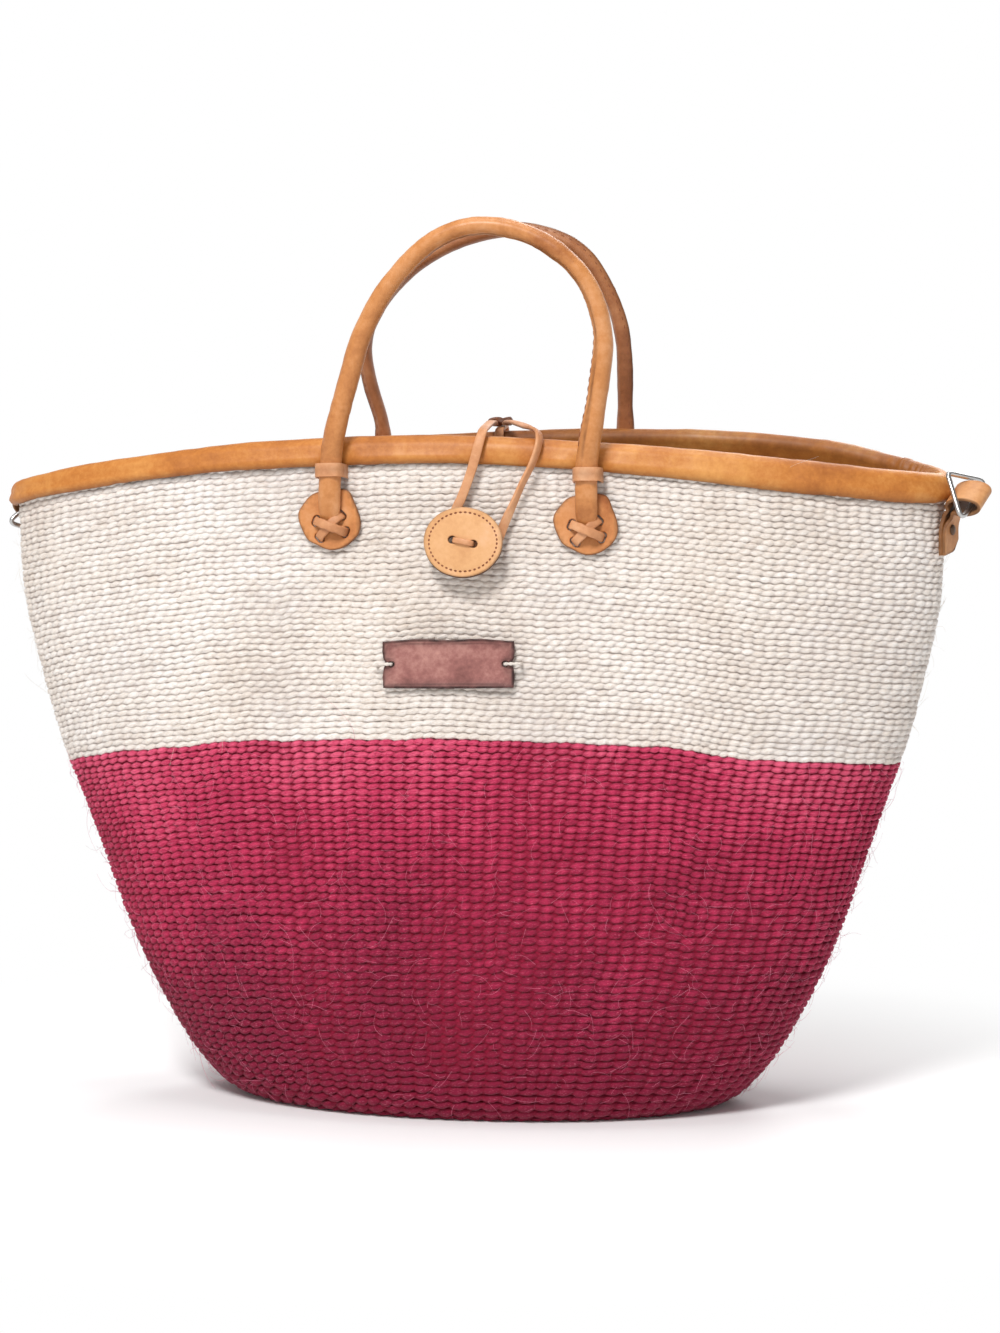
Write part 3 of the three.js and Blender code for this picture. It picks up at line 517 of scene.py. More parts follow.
def row_centre(share, theta, pitch):
    """Middle of the wall, the directions outwards and across the row, and the row's height."""
    if share < 0:
        edge = body_point(0.0, theta, -WALL / 2)
        middle = edge * -share
        middle[:, 2] = WALL / 2
        across = edge.copy()
        across[:, 2] = 0
        local = np.linalg.norm(across, axis=1) * pitch / FLOOR_HALF_DEPTH
        out = np.tile([0, 0, -1.0], (len(theta), 1))
        return middle, out, normalised(across), np.minimum(local, 7.0)
    middle = body_point(share, theta, -WALL / 2)
    step = pitch / RIM_HEIGHT / 2
    across = body_point(share + step, theta, -WALL / 2) - body_point(share - step, theta, -WALL / 2)
    along = body_point(share, theta + FINE_STEP) - body_point(share, theta - FINE_STEP)
    out = normalised(np.cross(along, across))
    return middle, out, normalised(across), np.linalg.norm(across, axis=1)


def strand_rings(line, out, across, half_out, half_side):
    """Corners of a strand's sections along its line."""
    along = normalised(np.roll(line, -1, 0) - np.roll(line, 1, 0))
    side = normalised(np.cross(along, out))
    side *= np.sign(np.sum(side * across, 1))[:, None]
    face = np.cross(side, along)
    face *= np.sign(np.sum(face * out, 1))[:, None]
    rings = (line[:, None]
             + face[:, None] * (half_out[:, None] * np.cos(CORNERS))[..., None]
             + side[:, None] * (half_side[:, None] * np.sin(CORNERS))[..., None])
    # the underside is pressed flat
    rings[..., 2] = np.maximum(rings[..., 2], 0.05)
    return rings


def row_stitches(share, width, places, slip, rng):
    """Places of a row's stitches; then the steps along it in stitches, in turns, as angles and
    in millimetres."""
    angle, length = ring_line(share) if share >= 0 else ring_line(0.0, max(-share, 0.02))
    places = with_new_stitches(places, max(8, 2 * round(length[-1] / width / 2)), rng)
    count = len(places)
    q = np.arange(count * STEPS) / STEPS
    u = np.interp(q, np.arange(count + 1), np.append(places, places[0] + 1))
    u = u + rng.normal() * slip / count
    theta = np.interp((u % 1) * length[-1], length, angle)
    return places, q, u, theta, u * length[-1]


def drifted(drifts, rng, u):
    """Slow noises at the places u of a row, each much as it is in the row before."""
    for drift in drifts:
        drift *= 0.98
        drift += 0.2 * rng.normal(size=len(drift))
    steps = np.arange(len(u)) / len(u)
    return [np.interp(u % 1, steps, noise_between(drift, len(u))) for drift in drifts]


def fibre_places(run, rng):
    """Places in the pattern of the fibres, along a strand and round it."""
    seed = rng.uniform(0, 500, 2)
    fibre = np.stack(np.broadcast_arrays(
        (run * 0.22)[:, None] + seed[0], 1.5 * np.cos(CORNERS)[None] + seed[1],
        1.5 * np.sin(CORNERS)[None]), -1)
    return fibre.reshape(-1, 3)


def stitch_tones_and_shade(q, strand, shade, rng):
    """How light each stitch of a strand is, at its corners: a random tone of its own, less the shade
    painted by its height.
    """
    stitch = np.floor((q + strand + 0.5) / 2).astype(int)
    tones = rng.normal(0.5 - shade, 0.08, stitch.max() + 1)
    tones[-1] = tones[0]
    return np.repeat(tones[stitch], SIDES)


def strand_rows(rows, rng, places, drifts, twist, shades):
    """Both strands of every row as arrays for one mesh, and the last row's stitch places."""
    parts = {key: [] for key in ("points", "faces", "uv", "fibre", "tone_and_shade", "depth")}
    corner = 0
    strips = 2 * len(rows)
    for row, (share, pitch, width) in enumerate(rows):
        places, q, u, theta, run = row_stitches(share, width, places, twist["slip"], rng)
        shade = np.interp(max(share, 0), *shades.T)
        middle, out, across, local = row_centre(share, theta, pitch)
        slow, quick, hollow = drifted(drifts, rng, u)
        free = 0.1 + 0.9 * smoothstep(share, 0.01, 0.12)
        wave = (slow * 0.18 + quick * 0.1) * free
        swell = smooth_noise(rng, len(q), len(places)) * 0.06 + 1
        bulge = hollow * 0.35 * free + smooth_noise(rng, len(q), len(places)) * 0.07
        for strand in range(2):
            phase = math.pi * (q + strand)
            jitter = smooth_noise(rng, len(q), len(places)) * 0.05
            lift = local * (twist["sway"] * np.sin(phase) + wave + jitter)
            line = middle + out * (twist["out"] * np.cos(phase) + bulge)[:, None] + across * lift[:, None]
            half_side = local * swell * (twist["thin"] + twist["thick"] * np.abs(np.cos(phase)))
            rings = strand_rings(line, out, across, twist["half"] * swell, half_side)
            parts["points"].append(rings.reshape(-1, 3))
            parts["faces"].append(tube_faces(len(q), SIDES, True) + corner)
            corner += len(q) * SIDES
            low = (2 * row + strand) / strips
            parts["uv"].append(tube_uv(len(q), SIDES, low, low + 0.96 / strips))
            parts["fibre"].append(fibre_places(run, rng))
            parts["tone_and_shade"].append(stitch_tones_and_shade(q, strand, shade, rng))
            # depth of each corner from the wall's middle, which sets the painted shade between strands
            offset = np.sum((rings - middle[:, None]) * out[:, None], -1)
            parts["depth"].append(np.abs(offset / (twist["out"] + twist["half"])).reshape(-1))
    return {key: np.concatenate(value) for key, value in parts.items()}, places


def band_shade_sleeve(low, high):
    """A thin closed sleeve in the middle of the wall, behind the strands, that stands dark as the shade
    between them.
    """
    rows, around = 14, 160
    shares = np.linspace(low, high, rows)
    shares = np.concatenate([shares, shares[::-1]])
    outs = np.concatenate([np.full(rows, SHADE_SLEEVE_HALF), np.full(rows, -SHADE_SLEEVE_HALF)]) - WALL / 2
    angle = SEAM + full_turn(around)
    points = body_point(shares[None], angle[:, None], outs[None]).reshape(-1, 3)
    return points, tube_faces(around, 2 * rows, True)[:, ::-1], tube_uv(around, 2 * rows, 0, 1)


def floor_shade_sleeve():
    """The same inside the floor, turned up at the foot."""
    around = 120
    angle = SEAM + full_turn(around)
    edge = body_point(0.0, angle, -WALL / 2)
    low, top = WALL / 2 - SHADE_SLEEVE_HALF, WALL / 2 + SHADE_SLEEVE_HALF

    def flat_ring(scale, height):
        ring = edge * scale
        ring[:, 2] = height
        return ring

    rings = [flat_ring(0.02, low), flat_ring(1.0, low),
             body_point(0.05, angle, -WALL / 2 + SHADE_SLEEVE_HALF),
             body_point(0.05, angle, -WALL / 2 - SHADE_SLEEVE_HALF),
             flat_ring(0.99, top), flat_ring(0.02, top)]
    points = np.stack(rings, 1).reshape(-1, 3)
    return points, tube_faces(around, len(rings), True), tube_uv(around, len(rings), 0, 1)


def sisal_piece(name, node, material, parts, shade_sleeve):
    """The strands of one part of the wall and the sleeve behind them as one mesh; the sleeve is painted
    as shade.
    """
    extra, extra_faces, extra_uv = shade_sleeve
    points = np.concatenate([parts["points"], extra])
    faces = np.concatenate([parts["faces"], extra_faces + len(parts["points"])])
    uv = np.concatenate([parts["uv"] * [1, 0.97], extra_uv * [1, 0.03] + [0, 0.97]])
    # the sleeve takes a dark tone and the full gap shade: painted shade seen between the strands
    attributes = {
        "fibre": np.concatenate([parts["fibre"], extra * 0.1]),
        "tone_and_shade": np.concatenate([parts["tone_and_shade"], np.full(len(extra), 0.2)]),
        "depth": np.concatenate([parts["depth"], np.zeros(len(extra))])}
    obj = mesh_object(name, points, faces, material, uv=uv, attributes=attributes)
    fitted(obj, "basket", "natural_sisal" if material is NATURAL else "magenta_sisal", node)


def build_weave():
    """The base, the magenta wall and the natural wall, twined row after row from the middle."""
    rng = np.random.default_rng(11)
    foot = wall_rows(0.002, 0.05, [(0, 3.9), (0.05, 3.9)], [(0, 7.2), (1, 7.2)])
    lower = wall_rows(
        0.061, COLOUR_CHANGE - COLOUR_GAP,
        [(0.05, 3.4), (0.15, 3.6), (0.3, 3.7), (0.45, 3.05), (0.56, 2.75)],
        [(0.05, 7.0), (0.3, 6.3), (0.563, 5.6)])
    upper = wall_rows(COLOUR_CHANGE + COLOUR_GAP, 0.972,
                      [(0.56, 2.8), (1.0, 2.8)], [(0.563, 5.5), (1.0, 5.2)])
    places = np.arange(8) / 8
    drifts = [rng.normal(size=knots) for knots in (26, 110, 22)]
    parts, places = strand_rows(floor_rows() + foot, rng, places, drifts, MAGENTA_TWIST, MAGENTA_PAINTED_SHADE)
    sisal_piece("sisal_base", "woven_base", MAGENTA, parts, floor_shade_sleeve())
    parts, places = strand_rows(lower, rng, places, drifts, MAGENTA_TWIST, MAGENTA_PAINTED_SHADE)
    sisal_piece("sisal_lower_band", "woven_lower_band", MAGENTA, parts,
                band_shade_sleeve(0.052, COLOUR_CHANGE))
    parts, places = strand_rows(upper, rng, places, drifts, NATURAL_TWIST, NATURAL_PAINTED_SHADE)
    sisal_piece("sisal_upper_band", "woven_upper_band", NATURAL, parts,
                band_shade_sleeve(COLOUR_CHANGE + 0.003, 0.97))


# Shapes of small pieces

CLEARANCE = 0.3
BINDING_SKIN = 1.6
CORE_RADIUS = 3.9
CORE_DEPTH = BINDING_SKIN + CLEARANCE + CORE_RADIUS
WALL_MIDDLE = -WALL / 2
BINDING_BULGE = WALL_MIDDLE + CORE_RADIUS + CLEARANCE + BINDING_SKIN


def to_world(seat, points):
    """Points along, up and out from a seat, in the basket's own frame."""
    return seat[0] + np.asarray(points, float) @ seat[1]


def to_local(seat, point):
    """A point of the basket's frame as along, up and out from a seat."""
    return (np.asarray(point, float) - seat[0]) @ seat[1].T


def turned(points, degrees, axis=2):
    """Points turned about an axis, anticlockwise."""
    a = math.radians(degrees)
    cos, sin = math.cos(a), math.sin(a)
    i, j = [(1, 2), (2, 0), (0, 1)][axis]
    result = np.array(points, float)
    result[..., i] = cos * points[..., i] - sin * points[..., j]
    result[..., j] = sin * points[..., i] + cos * points[..., j]
    return result


def curve_through(points, per=24):
    """Smooth curve through points, close to the centripetal Catmull-Rom curve."""
    p = np.asarray(points, float)
    p = np.concatenate([[2 * p[0] - p[1]], p, [2 * p[-1] - p[-2]]])
    result = []
    for a, b, c, d in zip(p, p[1:], p[2:], p[3:]):
        r, s, t = (math.sqrt(np.linalg.norm(v - u)) for u, v in ((a, b), (b, c), (c, d)))
        first = ((b - a) / r - (c - a) / (r + s) + (c - b) / s) * s
        last = ((c - b) / s - (d - b) / (s + t) + (d - c) / t) * s
        u = (np.arange(per) / per)[:, None]
        result.append(b + first * u + (3 * (c - b) - 2 * first - last) * u ** 2
                      + (2 * (b - c) + first + last) * u ** 3)
    return np.concatenate([*result, p[-2:-1]])


def closed_curve(corners, per=6):
    """Smooth closed curve through flat corners."""
    p = np.asarray(corners, float)
    result = []
    for i in range(len(p)):
        a, b, c, d = (p[(i + k) % len(p)] for k in (-1, 0, 1, 2))
        t = (np.arange(per) / per)[:, None]
        bend = 2 * a - 5 * b + 4 * c - d + t * (3 * (b - c) + d - a)
        result.append(b + 0.5 * t * (c - a + t * bend))
    return np.concatenate(result)


def line_at(line, run, places):
    """Points of a line at some of its running lengths."""
    return np.stack([np.interp(places, run, values) for values in line.T], -1)


def evenly(line, spacing, closed=False):
    """The same line with points at even distances."""
    if closed:
        line = np.concatenate([line, line[:1]])
    run = running_length(line)
    places = np.linspace(0, run[-1], max(3, round(run[-1] / spacing)) + 1)
    return line_at(line, run, places[:-1] if closed else places)


def eased(line, rounds, share):
    """The line with its inner points drawn towards their neighbours."""
    for _ in range(rounds):
        line[1:-1] += share * ((line[:-2] + line[2:]) / 2 - line[1:-1])
    return line


def rounded_corners(half_span, low, high, radius, per):
    """Points round a rectangle with rounded corners."""
    right, upper, lower = half_span - radius, high - radius, low + radius
    points = []
    for quarter, centre in enumerate([(right, upper), (-right, upper), (-right, lower), (right, lower)]):
        for k in range(per):
            a = math.pi / 2 * (quarter + k / (per - 1))
            points.append(np.array(centre) + radius * np.array([math.cos(a), math.sin(a)]))
    return np.array(points)


def rounded_section(width, thickness, radius, per=3):
    return rounded_corners(width / 2, -thickness / 2, thickness / 2, radius, per)


def ellipse_section(half_width, half_height, sides):
    a = full_turn(sides)
    return np.stack([half_width * np.cos(a), half_height * np.sin(a)], -1)


def rope_sections(turn, sides, radius, depth, strands):
    """Sections of a twisted rope, each turned by its own angle."""
    a = full_turn(sides)
    reach = radius + depth * np.cos(strands * (a[None] + turn[:, None]))
    return reach[..., None] * np.stack([np.cos(a), np.sin(a)], -1)


def solid_faces(rings, sides, closed=False):
    """Faces of a tube as lists, with a face over each end of an open one."""
    faces = tube_faces(rings, sides, closed).tolist()
    if not closed:
        faces.append(list(range(sides)))
        faces.append(list(range((rings - 1) * sides, rings * sides))[::-1])
    return faces


def sweep(line, facing, sections, closed=False):
    """A section carried along a line; facing is the section's second direction."""
    along = np.roll(line, -1, 0) - np.roll(line, 1, 0) if closed else np.gradient(line, axis=0)
    along = normalised(along)
    across = normalised(np.cross(along, np.broadcast_to(facing, line.shape)))
    facing = np.cross(across, along)
    sections = np.broadcast_to(sections, (len(line), *np.shape(sections)[-2:]))
    rings = (line[:, None] + across[:, None] * sections[..., :1]
             + facing[:, None] * sections[..., 1:])
    return rings.reshape(-1, 3), solid_faces(len(line), sections.shape[1], closed)


def joined(parts):
    """Several pairs of points and faces as one pair."""
    points, faces, corner = [], [], 0
    for some, sides in parts:
        points.append(some)
        faces.extend([[index + corner for index in side] for side in sides])
        corner += len(some)
    return np.concatenate(points), faces


def solid_object(name, shape, material, edge=None, angle=50):
    """A closed smooth object with sharp edges kept and faces outwards; edge is how dark each point
    is made, for dark cut edges and for painted shade."""
    attributes = None if edge is None else {"edge": edge}
    obj = mesh_object(name, *shape, material, attributes=attributes)
    work = bmesh.new()
    work.from_mesh(obj.data)
    bmesh.ops.recalc_face_normals(work, faces=work.faces)
    work.to_mesh(obj.data)
    work.free()
    obj.data.set_sharp_from_angle(angle=math.radians(angle))
    return obj


def fitted(obj, body, slot, *nodes):
    """The object on its body, in place of its nodes."""
    for node in nodes:
        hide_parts(node)
    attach(obj, body)
    return obj


def add_piece(name, shape, material, slot, *nodes, body="basket", seat=None, edge=None, angle=50):
    """A solid object on its body; with a seat its points are local to it."""
    points, faces = shape
    if seat is not None:
        points = to_world(seat, points)
    return fitted(solid_object(name, (points, faces), material, edge, angle), body, slot, *nodes)


def leather_blank(outline, thickness, holes=(), bevel=0.35, cuts=((), ())):
    """A cut leather shape with rounded edges and holes, cut across for bending."""
    curve = bpy.data.curves.new("blank", "CURVE")
    curve.dimensions, curve.fill_mode = "2D", "BOTH"
    curve.extrude, curve.bevel_depth, curve.bevel_resolution = thickness / 2 - bevel, bevel, 2
    curve.offset = -bevel
    for ring in (outline, *holes):
        spline = curve.splines.new("POLY")
        spline.points.add(len(ring) - 1)
        for point, (x, y) in zip(spline.points, ring):
            point.co = (x, y, 0, 1)
        spline.use_cyclic_u = True
    obj = link(bpy.data.objects.new("blank", curve))
    bpy.context.view_layer.update()
    mesh = bpy.data.meshes.new_from_object(obj.evaluated_get(bpy.context.evaluated_depsgraph_get()))
    bpy.data.objects.remove(obj)
    work = bmesh.new()
    work.from_mesh(mesh)
    bmesh.ops.remove_doubles(work, verts=work.verts, dist=0.01)
    for normal, places in zip(((1, 0, 0), (0, 1, 0)), cuts):
        for place in places:
            bmesh.ops.bisect_plane(
                work, geom=work.verts[:] + work.edges[:] + work.faces[:],
                plane_co=[place * part for part in normal], plane_no=normal)
    points = np.array([vert.co[:] for vert in work.verts])
    faces = [[vert.index for vert in face.verts] for face in work.faces]
    work.free()
    bpy.data.meshes.remove(mesh)
    points[:, 2] += thickness / 2
    return points, faces


def edge_distance(points, outline):
    """Distance of flat points from an outline."""
    a = np.asarray(outline, float)
    b = np.roll(a, -1, 0)
    p = points[:, None, :2]
    t = np.clip(np.sum((p - a) * (b - a), -1) / np.sum((b - a) ** 2, -1), 0, 1)
    return np.linalg.norm(p - a - (b - a) * t[..., None], axis=-1).min(1)


def edge_value(points, outline, width):
    return 1 - smoothstep(edge_distance(points, outline), 0.2, width)


def hole_distance(points, holes):
    """Distance of flat points from the middle of the nearest hole."""
    return np.min([np.linalg.norm(points[:, :2] - ring.mean(0), axis=1) for ring in holes], 0)


def slot_outline(x, y, width, height, tilt):
    """A slot with round ends, centred on x and y before its tilt."""
    ring = rounded_section(width, height, min(width, height) * 0.49, 5)
    ring = ring + [x, y]
    a = math.radians(tilt)
    return ring @ np.array([[math.cos(a), math.sin(a)], [-math.sin(a), math.cos(a)]])


def rounded_loop(half_span, low, high, radius, arch=0.0, spacing=0.8):
    """Line of a lace that goes through a stack: points across and outwards."""
    line = evenly(rounded_corners(half_span, low, high, radius, 7), spacing, closed=True)
    crown = np.maximum(0, 1 - (line[:, 0] / half_span) ** 2)
    line[:, 1] += np.where(line[:, 1] > (low + high) / 2, arch * crown, 0)
    return line


def upright_loop(line, x=0.0):
    """A rounded loop moved along by x, and its directions away from its middle."""
    loop = np.stack([line[:, 0] + x, np.zeros(len(line)), line[:, 1]], -1)
    along = np.roll(loop, -1, 0) - np.roll(loop, 1, 0)
    return loop, normalised(np.cross((0.0, 1.0, 0.0), along))


def lace_loop(line, section, tilt=0):
    """A flat lace along a rounded loop, laid across local Y and then turned by its tilt; its
    section's second direction points inwards."""
    loop, out = upright_loop(line)
    points, faces = sweep(loop, -out, section, closed=True)
    return turned(points, tilt), faces


def stitches_along(line, pitch, length, radius):
    """Short threads laid end to end along a line."""
    per = 8
    fine = evenly(line, pitch / per)
    keep = max(2, round(per * length / pitch))
    parts = []
    for start in range(0, len(fine) - per, per):
        some = fine[start:start + keep + 1]
        ends = np.sin(math.pi * np.linspace(0.12, 0.88, len(some)))[:, None, None]
        facing = np.cross(some[-1] - some[0], (0.3, 0.5, 0.9))
        parts.append(sweep(some, facing, ellipse_section(radius, radius, 6)[None] * ends))
    return joined(parts)


# Rim

def rim_line(outset, depth, count):
    return body_point(1 - depth / RIM_HEIGHT, full_turn(count), outset)


def binding_edges(rng, angle):
    """Depths of the lower edges of the binding, outside and inside."""
    count = len(angle)
    front = smoothstep(-np.sin(angle), 0.0, 0.5)
    right = smoothstep(np.cos(angle), -0.2, 1.0)
    left = smoothstep(-np.cos(angle), 0.2, 1.0)
    height = 12.7 + 2.6 * right * front - 0.9 * left + 0.35 * smooth_noise(rng, count, 30)
    height += 0.12 * smooth_noise(rng, count, 220)
    return height, 12.6 + 0.8 * smooth_noise(rng, count, 26)


def binding_swell(rng, angle):
    """How far the leather swells, and how far it is gathered round the bends at the ends."""
    count = len(angle)
    swell = 0.16 * smooth_noise(rng, count, 46) + 0.07 * smooth_noise(rng, count, 180) - 0.22
    ends = smoothstep(np.abs(np.cos(angle)), 0.86, 0.99)
    gathers = 0.5 * np.sin(angle * 150 + 2 * smooth_noise(rng, count, 24)) * ends
    # one end of the strip laps over the other
    lap = (angle > math.radians(22)) & (angle < math.radians(24.2))
    return swell + 0.55 * lap, gathers


def binding_room(angle):
    """How far it may bulge, less behind the legs of the handles and under the thong."""
    from_middle = rim_line(0, 0, len(angle))[:, 0]
    roomy = 1 - 0.8 * np.exp(-((np.abs(from_middle) - 59) / 9) ** 4)
    return roomy - 0.7 * np.exp(-((from_middle - 20) / 22) ** 4) * (np.sin(angle) < 0)


def build_binding():
    """The leather folded over the rope and the top of the wall."""
    rng = np.random.default_rng(3)
    count = 720
    angle = full_turn(count)
    height, inner_height = binding_edges(rng, angle)
    swell, gathers = binding_swell(rng, angle)
    roomy = binding_room(angle)
    radius = CORE_RADIUS + CLEARANCE + BINDING_SKIN
    lip = CLEARANCE + BINDING_SKIN

    def flap(low, share):
        """Outset and depth at a share of the way from a flap's lower edge up to the roll."""
        outset = lip + (BINDING_BULGE - lip) * smoothstep(share, 0.05, 1.05)
        return outset, low + (CORE_DEPTH + 1 - low) * share

    # each row is its outset, its depth and how dark it is: dark cut edges, with painted shade
    #     fading up from the outer lower edge and over the inner side
    rows = []
    # the lower edge: a dark cut edge and painted shade fading upwards under the bulge
    for share, dark in ((0.0, 1.0), (0.08, 0.6), (0.26, 0.15), (0.48, 0.0), (0.74, 0.0)):
        outset, depth = flap(height, share)
        outset = outset + 1.9 * math.sin(math.pi * min(1, share * 1.1)) * roomy
        tuck = 0.9 if share == 0 else 0
        rows.append((outset + swell * 0.7 - tuck, depth, dark))
    for degree in np.linspace(-5, 185, 13):
        a = math.radians(degree)
        r = radius + swell + gathers * smoothstep(-math.cos(a), -0.1, 0.8)
        # painted shade on the inner side of the roll, away from the light
        dark = 0.85 * float(smoothstep(-math.cos(a), -0.35, 0.4))
        rows.append((WALL_MIDDLE + r * math.cos(a), CORE_DEPTH - r * math.sin(a), dark))
    # the inner flap: painted shade, and a dark cut edge at its lower edge
    for share, dark in ((0.62, 0.48), (0.3, 0.48), (0.06, 1.0), (0.0, 1.0)):
        outset, depth = flap(inner_height, share)
        tuck = 0.35 if share == 0 else 0
        rows.append((-WALL - outset - (swell + gathers) * 0.7 + tuck, depth, dark))
    # back along the wall inside the fold
    inside, outside, fold = -WALL - 0.2, 0.2, 8.0
    rows += [(inside, inner_height, 1.0), (inside, fold, 0.0),
             (outside, fold, 0.0), (outside, height, 1.0)]
    rings = np.stack([body_point(1 - depth / RIM_HEIGHT, angle, outset) for outset, depth, _ in rows], 1)
    edge = np.tile([dark * 0.6 for _, _, dark in rows], count)
    add_piece("leather_binding", (rings.reshape(-1, 3), solid_faces(count, len(rows), True)),
              RIM_LEATHER, "rim_leather", "rim_binding", edge=edge, angle=70)


def build_rim_rope():
    """The rope inside the binding."""
    count = 600
    sections = rope_sections(full_turn(count) * 60, 12, 3.1, 0.5, 3)
    rope = sweep(rim_line(WALL_MIDDLE, CORE_DEPTH, count), (0, 0, 1), sections, closed=True)
    add_piece("rim_rope", rope, NATURAL, "natural_sisal", "rim_core", angle=180)


# Handles

HANDLE_HALF_SPAN = 60.0
HANDLE_RISE = 108.0
HANDLE_RADIUS = 5.2
HANDLE_LEAN = 3.0
HANDLE_FOOT_HALF = 3.9
HINGE_DEPTH = 11.7
TUBE_OUTSET = (BINDING_BULGE + CLEARANCE + BINDING_HEIGHT * math.sin(math.radians(HANDLE_LEAN))
               + HANDLE_RADIUS)
COVER_SIDES = 32
SEAM_START = 34.0
# course: the tube's middle in half spans and rises; half_widths: along the whole cover;
# thinner: how much the legs and the top lose; seam: its degrees near both ends; ridge and
# shadow: how high its lip stands and how wide the painted shadow beside it is
HANDLES = {
    "front": {
        "side": -1, "leather": HANDLE_LEATHER, "course": [
            [-1.01, 0], [-0.98, 0.11], [-0.85, 0.387], [-0.77, 0.535], [-0.56, 0.748],
            [-0.2, 0.943], [0.15, 1], [0.59, 0.943], [0.94, 0.781], [1.09, 0.557],
            [1.07, 0.361], [1, 0.108], [0.97, 0]],
        "half_widths": [5.1, 4.9, 4.7, 4.45, 4.35, 4.4, 4.9, 5.4], "thinner": [0, 0, 0],
        "seam": [-60, 52], "ridge": 0.08, "shadow": 0.12},
    "back": {
        "side": 1, "leather": SHADED_LEATHER, "course": [
            [-0.97, 0], [-0.985, 0.11], [-1.08, 0.292], [-1.12, 0.45], [-1.08, 0.555],
            [-0.93, 0.69], [-0.66, 0.83], [-0.26, 0.94], [0.17, 0.975], [0.61, 0.897],
            [0.85, 0.72], [0.975, 0.523], [1, 0.148], [1, 0]],
        "half_widths": [5.1] * 8, "thinner": [0.46, 0.3, 0.26],
        "seam": [-20, -34], "ridge": 0.3, "shadow": 0.3}}
HANDS = {"left": -1, "right": 1}
TAB_DEPTH = 41.0
TAB_HALF_WIDTH = 15.0
TAB_REACH = 28.0
TAB_OUTLINE = np.array([
    [0.5, 0.6], [0.79, 0.35], [0.94, 0.1], [0.88, -0.12], [0.5, -0.32], [0, -0.39],
    [-0.47, -0.29], [-0.79, -0.17], [-1.03, 0.17], [-0.85, 0.39], [-0.44, 0.57]])
TAB_GAP = 0.5
TAB_THICKNESS = 2.0
TAB_TOP = TAB_GAP + TAB_THICKNESS
INSIDE_WALL = -WALL - TAB_GAP
BACKER_THICKNESS = 1.8
BACKER_RADIUS = 11.5
INSIDE_BACKER = INSIDE_WALL - BACKER_THICKNESS
LACE_WIDTH = 4.2
LACE_THICKNESS = 1.7
# the span, the tilt in degrees and the rise of each lace
CROSS_TIES = {"over": (13.6, -22.0, LACE_THICKNESS + CLEARANCE), "under": (13.0, 44.0, 0.0)}
KEEPER_DEPTH = BINDING_HEIGHT + 1.2 + 2.8
KEEPER_HALF_WIDTH = 3.1


def handle_foot(side):
    """Middle of the hinge between the legs of a handle."""
    left, right = (wall_angle(x, HINGE_DEPTH, side) for x in (-HANDLE_HALF_SPAN, HANDLE_HALF_SPAN))
    wall = body_point(1 - CORE_DEPTH / RIM_HEIGHT, right)
    height = max(float(body_point(1 - HINGE_DEPTH / RIM_HEIGHT, angle)[2]) for angle in (left, right))
    return np.array([0, wall[1] + side * TUBE_OUTSET, height])


def leg_places(handle):
    """The legs' places from left to right."""
    return [handle["course"][end][0] * HANDLE_HALF_SPAN for end in (0, -1)]


def leg_foot(side, leg_x):
    """Where the tongue of one leg meets its tube."""
    foot = handle_foot(side) - [0, 0, CLEARANCE]
    foot[0] = leg_x
    return foot


def foot_seat(side, leg_x):
    """The place on the wall of the tab of one leg."""
    return wall_seat(wall_angle(leg_x, TAB_DEPTH, side), TAB_DEPTH)


def tube_line(side, course):
    """Centre line of a handle from its left foot to its right foot."""
    flat = curve_through([[x * HANDLE_HALF_SPAN, 0, z * HANDLE_RISE] for x, z in course])
    line = turned(flat, side * HANDLE_LEAN, axis=0)
    return evenly(line + handle_foot(side) + [0, 0, 3 * CLEARANCE], 2.0)


def tongue_line(seat, tube_foot):
    """Points and half thicknesses from the tie up to the tube's foot."""
    top = to_local(seat, tube_foot)
    top[2] -= 1.3
    rise = np.linspace(0, 1, 16)
    start_up, start_out = 1.6, 3.4
    half = np.interp(rise, [0, 0.1, 0.28, 0.5, 1], [0.7, 1.7, 2.9, 3.7, 4.1])
    out = np.maximum(start_out + (top[2] - start_out) * smoothstep(rise, 0, 1), half + 2.6)
    line = np.stack([top[0] * rise, start_up + (top[1] - start_up) * rise, out], -1)
    return to_world(seat, line), half


